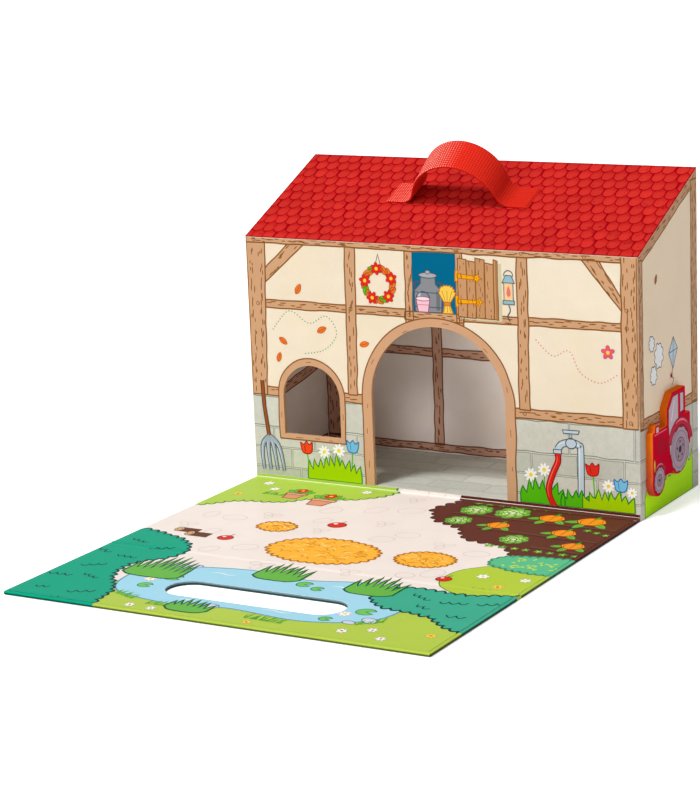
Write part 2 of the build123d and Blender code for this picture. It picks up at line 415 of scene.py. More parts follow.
def far(tree, value, middle=0.0):
    """Distance from a middle."""
    return tree.maths("ABSOLUTE", value - middle if middle else value)


def plaster_colour(tree, vector, pale, warm):
    return tree.mix(tree.remap(tree.noise(vector, 16.0, 4.0, 0.6), 0.42, 0.72), pale, warm)


PLINTH_TOP = 65.0
# The stone courses above this height are taller, by the second number.
TALL_COURSES_FROM = 40.3
TALL_COURSE_RATE = 0.63
COURSE_SHIFT = 3.5
# Timber shows round the corners from here; trim, in the thickness of the front wall.
CORNER_X = 148.6
CORNER_Y = 49.6
REVEAL_FRONT_Y = -50.85
REVEAL_BACK_Y = -47.0
REVEAL_HALF = 140.0
REVEAL_FOOT = 5.2
# The wrap is rubbed pale over this much on each side of an upright edge.
RUB_REACH = 0.6


def wall_colour(tree, vector):
    """Plaster over stone, timber round the corners, and trim in the holes' reveals."""
    x, y, z = in_millimetres(tree, vector)
    far_x = far(tree, x)
    far_y = far(tree, y)
    plaster = plaster_colour(tree, vector, PLASTER, PLASTER_WARM)
    # Painted light: the side walls take the lighter copy of the plaster.
    plaster = tree.mix(far_x > HALF_WIDTH - 0.1, plaster, SIDE_PLASTER_PAINTED_LIGHT)
    upper = tree.maths("MAXIMUM", z - TALL_COURSES_FROM, 0.0)
    lower = tree.maths("MINIMUM", z, TALL_COURSES_FROM)
    level = upper * TALL_COURSE_RATE + lower + COURSE_SHIFT
    stone = tree.use(STONEWORK, Vector=tree.bundle(x + y, level, 0.0))
    colour = tree.mix(z > PLINTH_TOP, stone, plaster)
    corner = (far_x > CORNER_X) & (far_y > CORNER_Y) & (z > PLINTH_TOP - 1.0)
    colour = tree.mix(corner, colour, TIMBER)
    reveal = (y > REVEAL_FRONT_Y) & (y < REVEAL_BACK_Y) & (far_x < REVEAL_HALF)
    colour = tree.mix(reveal & (z > REVEAL_FOOT), colour, TRIM)
    x_edge = tree.remap(far_x, HALF_WIDTH - 1.0 - RUB_REACH, HALF_WIDTH - 1.0 + RUB_REACH)
    y_edge = tree.remap(far_y, BACK_Y - 1.0 - RUB_REACH, BACK_Y - 1.0 + RUB_REACH)
    edge = x_edge * y_edge
    rub = tree.use(EDGE_RUB, Vector=vector, Edge=edge, Amount=0.4)
    return tree.mix(rub, colour, ink(240, 226, 204))


def lining_colour(tree, vector):
    # Painted light: the lining's plaster is lightened to lift the dark inside.
    return plaster_colour(tree, vector, INSIDE_PLASTER_PAINTED_LIGHT, ink(246, 229, 218))


def floor_colour(tree, vector):
    x, y, z = in_millimetres(tree, vector)
    return tree.use(
        STONEWORK, Vector=tree.bundle(x, y, 0.0), Course=19.0, Length=44.0, Sway=6.0,
        Stone=ink(207, 208, 197), Shade=ink(193, 195, 184), Joint=ink(150, 154, 142),
    )


def roof_paper_colour(tree, vector):
    """Deep red where tiles are printed, and the pale cut edge of the sheet."""
    x, y, z = in_millimetres(tree, vector)
    depth = (z - EAVE) * math.cos(PITCH) - (y - FRONT_Y) * math.sin(PITCH)
    return tree.mix(depth > -0.06, ink(226, 214, 208), TILE_LINE)


def bands(tree, value, low, high, stops):
    """Flat bands of colour along a value; stops are (start, colour)."""
    part = tree.remap(value, low, high)
    ramp = tree.add("ShaderNodeValToRGB", part)
    bars = ramp.socket.node.color_ramp
    bars.interpolation = "CONSTANT"
    bars.elements.remove(bars.elements[1])
    bars.elements[0].position = 0.0
    bars.elements[0].color = stops[0][1]
    for start, colour in stops[1:]:
        bars.elements.new((start - low) / (high - low)).color = colour
    return ramp


# Where the picture's colours reach the board's edges, from front to back and
# from left to right.
LEFT_ZONES = [(-349.0, HEDGE), (-198.5, YARD), (-133.5, MEADOW)]
RIGHT_ZONES = [
    (-349.0, LAWN), (-311.0, HEDGE_PALE), (-236.0, MEADOW), (-192.5, BUSH), (-156.0, SOIL),
]
FRONT_ZONES = [(-150.0, HEDGE), (-83.0, LAWN)]
# The cut edge of the sheet counts as the board's edge from this far inside it.
CUT_EDGE = 0.02
# The stretch round the slot whose edges show the pond: half its length and its depth.
SLOT_REACH_X = 84.0
SLOT_REACH_Y = 20.0


def board_edge_colour(tree, vector):
    """The picture's colours carried over the edge, with painted shade low on the edge and on the
    right edge, and a plain paper underneath.
    """
    x, y, z = in_millimetres(tree, vector)
    sides = [bands(tree, y, -350.0, FRONT_Y, zones) for zones in (LEFT_ZONES, RIGHT_ZONES)]
    front = bands(tree, x, -HALF_WIDTH, HALF_WIDTH, FRONT_ZONES)
    rim = tree.mix(x > 0.0, *sides)
    rim = tree.mix(y < SHEET_FRONT_Y + CUT_EDGE, rim, front)
    slot = (far(tree, x, SLOT_X) < SLOT_REACH_X) & (far(tree, y, SLOT_Y) < SLOT_REACH_Y)
    rim = tree.mix(slot, rim, ink(112, 152, 170))
    # Painted shade: the edge darkens towards its foot.
    dark = tree.mix(tree.remap(z, 1.7, 1.0), rim, ink(120, 122, 104), "MULTIPLY")
    # Painted shade: the right edge, which faces away from the lamps, is darker.
    dark = tree.mix((x > 149.2) & (z < 2.0), dark, ink(150, 148, 130), "MULTIPLY")
    return tree.mix(z < 0.03, dark, ink(176, 200, 120))


def sheet_colour(tree, vector):
    """Yard paper, with the picture's colours on its cut edges."""
    x, y, z = in_millimetres(tree, vector)
    side = far(tree, x) > SHEET_HALF - CUT_EDGE
    cut = tree.maths("MAXIMUM", side, y < SHEET_FRONT_Y + CUT_EDGE)
    return tree.mix(cut, plain(YARD)(tree, vector), board_edge_colour(tree, vector))


def printed_ink(tree, vector):
    """The colour that a printed shape carries, with its own tone."""
    colour = tree.add("ShaderNodeAttribute", attribute_name="ink", out="Color")
    shade = tree.add("ShaderNodeAttribute", attribute_name="shade", out="Fac")
    return tree.scaled(colour, shade * 0.3 + 1.0)


def board_colour(tree, vector):
    """Grey board, with its pulped fibres."""
    fibre = tree.noise(vector, 420.0, 4.0, 0.7)
    return tree.mix(fibre, ink(150, 148, 140), ink(188, 184, 174))


def plain(colour):
    def colour_of(tree, vector):
        return tree.mix(tree.noise(vector, 60.0, 3.0), between(colour, OUTLINE, 0.06), colour)
    return colour_of


def tractor_colour(tree, vector):
    """Crimson face, painted lighter towards the top, and an orange edge with painted light, lighter
    above and redder towards the ground.
    """
    x, y, z = in_millimetres(tree, vector)
    # Painted light: the edge is a lighter orange above and redder towards the ground.
    edge = tree.mix(tree.remap(z, 18.0, 50.0), ink(212, 78, 58), ink(255, 124, 24))
    outward = tree.split(tree.add("ShaderNodeTexCoord", out="Normal"))[0]
    # Painted light: the face is lighter towards the top.
    face = tree.mix(tree.remap(z, 30.0, 80.0), ink(214, 14, 46), ink(236, 20, 58))
    return tree.mix(tree.remap(outward, 0.55, 0.8), edge, face)


# How far the underside of the webbing lies from its top in the UV map.
UNDERSIDE_SHIFT = 148.0


def webbing_material():
    """Red webbing with painted highlights, pale glints on its top that fade out towards the right,
    and painted shade on its right foot.
    """
    material, tree, place = start_material("webbing_red")
    along, across, _ = tree.split(place.out("UV"))
    # Painted highlights: pale glints on the top face, strongest on the left half and gone on the
    # right.
    painted_glints = tree.remap(along, 80.0, 99.0, 0.62, 0.0) & tree.remap(along, 34.0, 48.0, 0.5, 1.0)
    # Painted shade: the colour darkens over the right foot.
    painted_foot_shade = tree.remap(along, 118.0, 134.0, 1.0, 0.8)
    surface = tree.use(
        WEBBING_WEAVE, Vector=place.out("UV"), Yarn=1.85,
        Colour=tree.scaled(ink(240, 54, 34)[:3], painted_foot_shade), Shade=ink(206, 26, 18),
        Fleck=ink(255, 226, 208), Flecks=painted_glints & (across < UNDERSIDE_SHIFT / 2),
    )
    coat(tree, surface, 0.04, 0.00025)
    return material


WALL_PAPER = paper_material("wall_paper", wall_colour, 0.05, 0.03, 0.5)
LINING_PAPER = paper_material("lining_paper", lining_colour, 0.05, 0.02, 0.6)
FLOOR_PAPER = paper_material("floor_paper", floor_colour, 0.06, 0.02, 0.5)
ROOF_PAPER = paper_material("roof_paper", roof_paper_colour, 0.05, 0.03, 0.5, shine=0.0)
INK_PRINT = paper_material("ink_print", printed_ink, 0.04, 0.02, 0.42, shine=0.02)
TILE_PRINT = paper_material("tile_print", printed_ink, 0.06, 0.05, 0.5, 0.00002, 0.0)
YARD_PAPER = paper_material("yard_paper", sheet_colour, 0.03, 0.02, 0.36, shine=0.02)
BOARD_EDGE = paper_material("board_edge", board_edge_colour, 0.04, 0.02, 0.4, shine=0.02)
GREY_BOARD = paper_material("grey_board", board_colour, 0.06, 0.08, 0.85, 0.00003)
PAD_BOARD = paper_material("pad_board", plain(ink(176, 160, 138)), 0.06, 0.06, 0.8, 0.00003)
WEBBING = webbing_material()
TRACTOR_PAINT = paper_material("tractor_paint", tractor_colour, 0.05, 0.02, 0.3, shine=0.0)

NODE_FINISHES = {
    GREY_BOARD: "base_board floor_board front_wall back_wall left_wall right_wall roof_board",
    LINING_PAPER: "front_lining back_lining left_lining right_lining roof_lining",
    FLOOR_PAPER: "floor_lining",
    WALL_PAPER: "wall_wrap",
    ROOF_PAPER: "roof_sheet",
    PAD_BOARD: "handle_anchor_left handle_anchor_right",
    TRACTOR_PAINT: "tractor_plaque",
    BOARD_EDGE: "inner_panel_board outer_panel_board",
    YARD_PAPER: "inner_panel_sheet outer_panel_sheet",
}
for finish, node_names in NODE_FINISHES.items():
    for node_name in node_names.split():
        node_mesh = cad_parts[node_name].data
        node_mesh.materials.clear()
        node_mesh.materials.append(finish)


# ------------ flat shapes
def arc_points(centre, radius, start, end, count=24):
    """Points on an arc, in degrees; radius is one number or (across, up)."""
    across, up = radius if isinstance(radius, tuple) else (radius, radius)
    points = []
    for step in range(count + 1):
        angle = math.radians(start + (end - start) * step / count)
        point = (centre[0] + across * math.cos(angle), centre[1] + up * math.sin(angle))
        points.append(point)
    return points


def oval(centre, radius, turn=0.0, count=28):
    return moved(arc_points((0, 0), radius, 0, 360, count)[:-1], centre, turn)


def moved(points, centre, turn=0.0, size=1.0):
    c = math.cos(math.radians(turn)) * size
    s = math.sin(math.radians(turn)) * size
    return [(centre[0] + u * c - v * s, centre[1] + u * s + v * c) for u, v in points]


def around(centre, reach, turn):
    """The point at a distance from a centre, in the direction turn."""
    return moved([(reach, 0)], centre, turn)[0]


def flowing(points, closed=True, per_side=6):
    """A smooth line through the points."""
    count = len(points)
    line = []
    for index in range(count if closed else count - 1):
        near = [index + k for k in (-1, 0, 1, 2)]
        if closed:
            near = [k % count for k in near]
        else:
            near = [min(max(k, 0), count - 1) for k in near]
        a, b, c, d = (Vector(points[k]) for k in near)
        for step in range(per_side):
            t = step / per_side
            point = 0.5 * (
                2 * b
                + (c - a) * t
                + (2 * a - 5 * b + 4 * c - d) * t * t
                + (3 * b - a - 3 * c + d) * t * t * t
            )
            line.append(tuple(point))
    if not closed:
        line.append(tuple(points[-1]))
    return line


def spaced(points, pitch, closed=False):
    """Points a pitch apart along a line, whatever its own points are."""
    ring = [Vector(point) for point in points]
    if closed:
        ring.append(ring[0])
    lengths = [(b - a).length for a, b in zip(ring, ring[1:])]
    count = max(3, round(sum(lengths) / pitch))
    step = sum(lengths) / count
    line = [tuple(ring[0])]
    travelled = 0.0
    wanted = step
    for start, end, length in zip(ring, ring[1:], lengths):
        while wanted <= travelled + length + 1e-9 and len(line) < count + 1:
            line.append(tuple(start.lerp(end, (wanted - travelled) / max(length, 1e-9))))
            wanted += step
        travelled += length
    return line[:count] if closed else line


def evenly(points, pitch, closed=False):
    """The same line with a point about every pitch."""
    ring = list(points) + ([points[0]] if closed else [])
    line = [ring[0]]
    for start, end in zip(ring, ring[1:]):
        parts = max(1, round(math.dist(start, end) / pitch))
        line += [between(start, end, step / parts) for step in range(1, parts + 1)]
    return line[:-1] if closed else line


def wavy(points, reach, seed, pitch=4.0, closed=False):
    """A hand-drawn line: every point strays a little, up to reach."""
    drawn = []
    for u, v in evenly(points, pitch, closed):
        spot = Vector((u * 0.09, v * 0.09, seed * 3.7))
        du = noise.noise(spot) * reach
        dv = noise.noise(spot + Vector((31.0, 17.0, 5.0))) * reach
        drawn.append((u + du, v + dv))
    return drawn


def drawn_ring(points, reach, seed, pitch=4.0):
    return wavy(points, reach, seed, pitch, True)


def leafy(points, size, seed, closed=True):
    """A line of small rounded bumps, as a hedge or a bush has."""
    line = spaced(points, size, closed)
    if closed:
        line.append(line[0])
    turns = sum((b[0] - a[0]) * (b[1] + a[1]) for a, b in zip(line, line[1:]))
    side = 1 if turns > 0 else -1
    chance = random.Random(seed)
    drawn = []
    for start, end in zip(line, line[1:]):
        across = Vector((end[0] - start[0], end[1] - start[1]))
        outward = Vector((-across.y, across.x)) * side
        depth = chance.uniform(0.3, 0.55)
        for step in range(5):
            share = step / 5
            bump = math.sin(math.pi * share) ** 0.8 * depth
            drawn.append(tuple(Vector(start) + across * share + outward * bump))
    return drawn


def tuft_outline(width, height, blades, seed, deep):
    """A clump of pointed, hollow-sided blades of grass, from its left foot to its right."""
    chance = random.Random(seed)
    points = [(-width / 2, 0.0)]
    pitch = width / blades

    def swell(place):
        return 1 - abs(2 * place / blades - 1) ** 2 * 0.4

    for blade in range(blades + 1):
        foot = -width / 2 + pitch * blade
        low = height * swell(blade) * deep * chance.uniform(0.87, 1.13)
        points.append((foot, low))
        if blade < blades:
            lean = 0.35 * (2 * (blade + 0.5) / blades - 1) + chance.uniform(-0.2, 0.2)
            tip = foot + pitch * (0.5 + lean)
            top = height * swell(blade + 0.5) * chance.uniform(0.84, 1.06)
            next_foot = -width / 2 + pitch * (blade + 1)
            points += [
                (foot * 0.45 + tip * 0.55 - pitch * 0.03, low * 0.4 + top * 0.6),
                (tip, top),
                (next_foot * 0.5 + tip * 0.5 - pitch * 0.02, low * 0.5 + top * 0.5),
            ]
    points.append((width / 2, 0.0))
    return points


def rectangle(low_u, low_v, high_u, high_v):
    return [(low_u, low_v), (high_u, low_v), (high_u, high_v), (low_u, high_v)]


# ------------ printed sheets
# Shapes on one level lie this many levels apart, and start again after a dozen.
SHAPE_STEP = 0.075
SHAPE_STEPS = 12
# Two points nearer than this are one, and a face smaller than this is none.
NEAR = 1e-4
TINY_AREA = 1e-7


class Print:
    """Flat printed shapes on one sheet: each level lies a hair above the last."""

    def __init__(self):
        self.points = []
        self.faces = []
        self.inks = []
        self.shapes = 0

    def add(self, points, faces, colour, level):
        """Adds faces; a small extra height keeps shapes on one level apart."""
        first = len(self.points)
        level += SHAPE_STEP * (self.shapes % SHAPE_STEPS)
        self.shapes += 1
        self.points.extend((u, v, level) for u, v in points)
        for face in faces:
            ring = [points[index] for index in face]
            area = sum(a[0] * b[1] - b[0] * a[1] for a, b in zip(ring, ring[1:] + ring[:1]))
            if abs(area) < TINY_AREA:
                continue
            ordered = face if area > 0 else reversed(face)
            self.faces.append(tuple(first + index for index in ordered))
            self.inks.append(colour)

    def fill(self, outline, colour, level, holes=()):
        rings = [outline, *holes]
        flat = [[Vector((u, v, 0.0)) for u, v in ring] for ring in rings]
        points = [point for ring in rings for point in ring]
        self.add(points, geometry.tessellate_polygon(flat), colour, level)

    def line(self, path, width, colour, level, closed=False, taper=False):
        """A pen line: width is the full width, or one for each point."""
        path = [p for i, p in enumerate(path) if i == 0 or math.dist(p, path[i - 1]) > NEAR]
        count = len(path)
        points = []
        for index, point in enumerate(path):
            before = path[index - 1] if closed or index > 0 else point
            after = path[(index + 1) % count] if closed or index < count - 1 else point
            first = (Vector(point) - Vector(before)).normalized()
            second = (Vector(after) - Vector(point)).normalized()
            heading = (first + second).normalized()
            spread = max(0.5, heading.dot(second if first.length == 0 else first))
            half = width[index] / 2 if isinstance(width, (list, tuple)) else width / 2
            if taper:
                half *= max(0.25, math.sin(math.pi * (index + 0.5) / count) ** 0.5)
            aside = Vector((-heading.y, heading.x)) * half / spread
            points.append((point[0] + aside.x, point[1] + aside.y))
            points.append((point[0] - aside.x, point[1] - aside.y))
        faces = []
        for index in range(count if closed else count - 1):
            a, b = 2 * index, 2 * ((index + 1) % count)
            faces.append((a, a + 1, b + 1, b))
        self.add(points, faces, colour, level)

    def outlined(self, outline, colour, edge, width, level):
        """A filled shape with a pen line round it."""
        self.fill(outline, colour, level)
        self.line(outline, width, edge, level + 1, closed=True)

    def to_mesh(self, name):
        """A mesh in the sheet's own plane, in millimetres, with its levels as heights."""
        mesh = bpy.data.meshes.new(name)
        points = [(u, v, PRINT_LIFT + level * PRINT_STEP) for u, v, level in self.points]
        mesh.from_pydata(points, [], self.faces)
        colours = []
        for face, colour in zip(self.faces, self.inks):
            colours.extend(colour * len(face))
        attribute = mesh.attributes.new("ink", "FLOAT_COLOR", "CORNER")
        attribute.data.foreach_set("color", colours)
        return mesh


def cut_mesh(mesh, planes, drop=True):
    """Cuts a flat mesh at planes, given as (point, normal), and drops what lies beyond."""
    body = bmesh.new()
    body.from_mesh(mesh)
    for point, normal in planes:
        everything = body.verts[:] + body.edges[:] + body.faces[:]
        bmesh.ops.bisect_plane(
            body, geom=everything, plane_co=point, plane_no=normal, clear_outer=drop
        )
    body.to_mesh(mesh)
    body.free()


def limits(low_u, high_u, low_v, high_v):
    """The four planes that bound a print."""
    return [
        ((low_u, 0, 0), (-1, 0, 0)), ((high_u, 0, 0), (1, 0, 0)),
        ((0, low_v, 0), (0, -1, 0)), ((0, high_v, 0), (0, 1, 0)),
    ]


FRONT_LIMITS = limits(-WALL_PRINT_HALF, WALL_PRINT_HALF, FRONT_PRINT_FOOT, 177.1)


def lay_on(mesh, place):
    """Moves a flat mesh onto its face: place(u, v, height) gives millimetres."""
    for vertex in mesh.vertices:
        vertex.co = Vector(place(*vertex.co)) * MM
    mesh.update()


def add_piece(name, mesh, body, slot, *materials):
    made = bpy.data.objects.new(name, mesh)
    bpy.context.collection.objects.link(made)
    for material in materials:
        mesh.materials.append(material)
    if body:
        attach(made, body)
    return made


def lay_piece(name, shape, place, planes=(), body="barn", slot="wall_print"):
    """A piece made of a Print or a grown mesh, cut at planes and laid on its face."""
    mesh = shape
    materials = []
    if isinstance(shape, Print):
        mesh = shape.to_mesh(name)
        materials = [INK_PRINT]
    if planes:
        cut_mesh(mesh, planes)
    lay_on(mesh, place)
    return add_piece(name, mesh, body, slot, *materials)


def upright(origin, along, outward):
    """A wall to lay prints on: u runs along it, v up, and height outward."""
    def place(u, v, height):
        x, y = (start + a * u + b * height for start, a, b in zip(origin, along, outward))
        return (x, y, v)
    return place


front_face = upright((0, FRONT_Y), (1, 0), (0, -1))
right_face = upright((HALF_WIDTH, 0), (0, 1), (1, 0))
left_face = upright((-HALF_WIDTH, 0), (0, -1), (-1, 0))
back_face = upright((0, BACK_Y), (-1, 0), (0, 1))
inside_back = upright((0, BACK_Y - LINED_WALL), (1, 0), (0, -1))
inside_left = upright((-HALF_WIDTH + LINED_WALL, 0), (0, 1), (1, 0))
inside_right = upright((HALF_WIDTH - LINED_WALL, 0), (0, -1), (-1, 0))
tractor_face = upright((PLAQUE_FACE_X, FRONT_Y), (0, 1), (1, 0))


def roof_face(u, v, height):
    c = math.cos(PITCH)
    s = math.sin(PITCH)
    return (u, FRONT_Y + v * c - height * s, EAVE + v * s + height * c)


# ------------ growing by rule
class Growth(Tree):
    """Geometry nodes: spots, copies on them, and the copies' own marks."""

    def random(self, low, high, seed):
        feeds = (None, None, low, high)
        return self.add("FunctionNodeRandomValue", *feeds, out=1, data_type="FLOAT", Seed=seed)

    def spots_along(self, lines, pitch):
        """Points a pitch apart along loose edges."""
        curves = self.add("GeometryNodeMeshToCurve", lines)
        even = self.add("GeometryNodeResampleCurve", mode="LENGTH", Curve=curves, Length=pitch)
        return self.add("GeometryNodeCurveToPoints", even, mode="EVALUATED")

    def shape(self, chosen):
        return self.add("GeometryNodeObjectInfo", chosen, out="Geometry")

    def repeat(self, spots, copy, turn, size, mark, kind, value, paper):
        """Ends the tree: copies on spots, each with a named mark, made real."""
        placed = self.add(
            "GeometryNodeInstanceOnPoints", Points=spots, Instance=copy, Rotation=turn, Scale=size
        )
        marked = self.add(
            "GeometryNodeStoreNamedAttribute", data_type=kind, domain="INSTANCE",
            Geometry=placed, Name=mark, Value=value,
        )
        real = self.add("GeometryNodeRealizeInstances", marked)
        return self.give(
            Geometry=self.add("GeometryNodeSetMaterial", Geometry=real, Material=paper)
        )


def start_growth(name, inputs):
    ends = [("Geometry", "Geometry")]
    return start_group(name, [*ends, *inputs], ends, "GeometryNodeTree", Growth)


def grown(tree, mesh, **values):
    """The plain mesh that a Geometry Nodes tree makes, its inputs set by name."""
    carrier = bpy.data.objects.new(tree.name, mesh)
    bpy.context.collection.objects.link(carrier)
    modifier = carrier.modifiers.new(tree.name, "NODES")
    modifier.node_group = tree
    for socket in tree.interface.items_tree:
        title = socket.name.replace(" ", "_")
        if socket.in_out == "INPUT" and title in values:
            modifier[socket.identifier] = values[title]
    ready = bpy.context.evaluated_depsgraph_get()
    made = bpy.data.meshes.new_from_object(carrier.evaluated_get(ready))
    carrier.modifiers.remove(modifier)
    bpy.data.objects.remove(carrier)
    return made


def make_tile_tree():
    """Rows of scale tiles, every second row shifted by half a tile."""
    tree, given = start_growth(
        "roof_tiles",
        [
            ("Tile", "Object"), ("Columns", "Int", 35), ("Rows", "Int", 13),
            ("Tile Width", "Float", 9.1), ("Row Height", "Float", 9.3),
            ("First Row", "Float", -3.0), ("Tilt", "Float", 0.011), ("Stray", "Float", 0.35),
            ("Seed", "Int", 5), ("Paper", "Material"),
        ],
    )
    columns, stray, seed = given["Columns"], given["Stray"], given["Seed"]
    spots = tree.add("GeometryNodeMeshLine", Count=columns * given["Rows"])
    index = tree.add("GeometryNodeInputIndex")
    row = tree.maths("FLOOR", index / columns)
    column = index % columns
    place = column + row % 2.0 * 0.5 - columns * 0.5
    u = place * given["Tile Width"] + tree.random(stray * -1.0, stray, seed)
    up = row * given["Row Height"] + given["First Row"]
    v = up + tree.random(stray * -1.0, stray, seed + 1)
    lift = column % 2.0 * 0.012 + 0.16
    laid = tree.add("GeometryNodeSetPosition", spots, Position=tree.bundle(u, v, lift))
    turn = tree.bundle(given["Tilt"] * -1.0, 0.0, tree.random(-0.09, 0.09, seed + 2))
    tone = tree.random(-0.2, 0.24, seed + 3)
    tile = tree.shape(given["Tile"])
    return tree.repeat(laid, tile, turn, None, "shade", "FLOAT", tone, given["Paper"])


def make_grain_tree():
    """Short grain strokes scattered along the middle lines of the timbers."""
    tree, given = start_growth(
        "timber_grain",
        [
            ("Pitch", "Float", 7.0), ("Longest", "Float", 2.6), ("Thickness", "Float", 0.26),
            ("Ink", "Color", TIMBER_LINE), ("Seed", "Int", 2), ("Paper", "Material"),
        ],
    )
    longest, seed = given["Longest"], given["Seed"]
    spots = tree.spots_along(given["Geometry"], given["Pitch"])
    tangent = spots.out("Tangent")
    across = tree.vectors("CROSS_PRODUCT", tangent, (0.0, 0.0, 1.0))
    half_width = tree.add(
        "GeometryNodeInputNamedAttribute", data_type="FLOAT", Name="half_width"
    )
    shift = tree.scaled(across, tree.random(-1.0, 1.0, seed) * half_width)
    onward = tree.scaled(tangent, tree.random(-3.0, 3.0, seed + 7))
    lift = tree.bundle(0.0, 0.0, tree.random(0.0, 0.004, seed + 8))
    step = tree.vectors("ADD", tree.vectors("ADD", shift, onward), lift)
    strewn = tree.add("GeometryNodeSetPosition", spots, Offset=step)
    dash = tree.add("GeometryNodeMeshCircle", fill_type="NGON", Vertices=8, Radius=1.0)
    length = tree.random(longest * 0.35, longest, seed + 4)
    size = tree.bundle(length, given["Thickness"], 1.0)
    turn = tree.add("FunctionNodeAlignRotationToVector", axis="X", Vector=tangent)
    colour = given["Ink"]
    return tree.repeat(strewn, dash, turn, size, "ink", "FLOAT_COLOR", colour, given["Paper"])


def make_sprout_tree():
    """Shapes set along lines, each with its own size, lean and tone."""
    tree, given = start_growth(
        "sprouts_along_lines",
        [
            ("Shape", "Object"), ("Pitch", "Float", 3.0), ("Smallest", "Float", 0.6),
            ("Largest", "Float", 1.0), ("Lean", "Float", 0.3), ("Seed", "Int", 3),
            ("Paper", "Material"),
        ],
    )
    lean, seed = given["Lean"], given["Seed"]
    spots = tree.spots_along(given["Geometry"], given["Pitch"])
    rise = tree.random(0.0, 0.02, seed + 9)
    step = tree.bundle(tree.random(-0.6, 0.6, seed + 5), 0.0, rise)
    strewn = tree.add("GeometryNodeSetPosition", spots, Offset=step)
    turn = tree.bundle(0.0, 0.0, tree.random(lean * -1.0, lean, seed))
    size = tree.random(given["Smallest"], given["Largest"], seed + 1)
    tone = tree.random(-0.8, 0.4, seed + 2)
    shape = tree.shape(given["Shape"])
    return tree.repeat(strewn, shape, turn, size, "shade", "FLOAT", tone, given["Paper"])


TILE_TREE = make_tile_tree()
GRAIN_TREE = make_grain_tree()
SPROUT_TREE = make_sprout_tree()


def line_mesh(name, lines, height=0.0, half_widths=()):
    """Loose edges for the trees to work along; an end may have a height of its own."""
    points = [(*end, height)[:3] for line in lines for end in line]
    edges = [(2 * number, 2 * number + 1) for number in range(len(lines))]
    mesh = bpy.data.meshes.new(name)
    mesh.from_pydata(points, edges, [])
    attribute = mesh.attributes.new("half_width", "FLOAT", "POINT")
    widths = [half for half in half_widths or [1.0] * len(lines) for _ in range(2)]
    attribute.data.foreach_set("value", widths)
    return mesh


def grain_mesh(name, lines, half_widths, pitch, longest, thickness, line, seed):
    """Grain strokes along lines."""
    return grown(
        GRAIN_TREE, line_mesh(name, lines, half_widths=half_widths), Pitch=pitch,
        Longest=longest, Thickness=thickness, Ink=line, Seed=seed, Paper=INK_PRINT,
    )


def shape_object(name, sheet):
    """A small printed shape for a tree to repeat; it is thrown away afterwards."""
    mesh = sheet.to_mesh(name)
    for vertex in mesh.vertices:
        vertex.co.z -= PRINT_LIFT
    return bpy.data.objects.new(name, mesh)


# ------------ timbers
TIMBER_PEN = 0.95
TIMBER_STRAY = 0.75
# Grain strokes: one lane for so much width, clear of a timber's ends by a length
# but no more than a share of it, and strewn over a share of the lane.
LANE_WIDTH = 6.5
GRAIN_INSET = 5.0
GRAIN_INSET_SHARE = 0.3
GRAIN_SPREAD = 0.31


class Frame:
    """The printed half-timbering of one wall."""

    def __init__(self, name, seed, tone=TIMBER, line=TIMBER_LINE):
        self.name = name
        self.seed = seed
        self.tone = tone
        self.edge = line
        self.sheet = Print()
        self.grain = []
        self.grain_widths = []

    def timber(self, left_low, left_high, right_high, right_low, level):
        """A beam between two long sides: left_low to left_high, right_low to right_high."""
        self.seed += 1
        one = wavy([left_low, left_high], TIMBER_STRAY, self.seed)
        other = wavy([right_low, right_high], TIMBER_STRAY, self.seed + 0.5)
        self.sheet.fill(one + other[::-1], self.tone, level)
        for path in (one, other, [one[0], other[0]], [one[-1], other[-1]]):
            self.sheet.line(path, TIMBER_PEN, self.edge, level + 1)
        height = PRINT_LIFT + (level + 1) * PRINT_STEP
        width = math.dist(left_low, right_low)
        lanes = max(1, round(width / LANE_WIDTH))
        for lane in range(lanes):
            share = (lane + 0.5) / lanes
            foot = between(left_low, right_low, share)
            head = between(left_high, right_high, share)
            inset = min(GRAIN_INSET / math.dist(foot, head), GRAIN_INSET_SHARE)
            ends = between(foot, head, inset), between(head, foot, inset)
            self.grain.append([(*end, height) for end in ends])
            self.grain_widths.append(width * GRAIN_SPREAD / lanes)

    def post(self, x_low, x_high, z_low, z_high, level, foot=None):
        foot = foot or (x_low, x_high)
        self.timber((foot[0], z_low), (x_low, z_high), (x_high, z_high), (foot[1], z_low), level)

    def rail(self, x_low, x_high, z_low, z_high, level):
        self.timber((x_low, z_high), (x_high, z_high), (x_high, z_low), (x_low, z_low), level)

    def peg(self, x, z, level):
        ring = drawn_ring(oval((x, z), 1.25, 0, 12), 0.3, x + z, 1)
        self.sheet.line(ring, 0.45, self.edge, level, closed=True)
        self.sheet.fill(oval((x + 0.2, z - 0.1), 0.35, 0, 6), self.edge, level)

    def finish(self, place, planes, slot="wall_print"):
        """Lays the timbers, then their grain."""
        grain = grain_mesh(
            self.name + "_lines", self.grain, self.grain_widths, 3.5, 3.4, 0.4, self.edge,
            int(self.seed),
        )
        lay_piece(self.name, self.sheet, place, planes, slot=slot)
        lay_piece(self.name + "_grain", grain, place, planes, slot=slot)


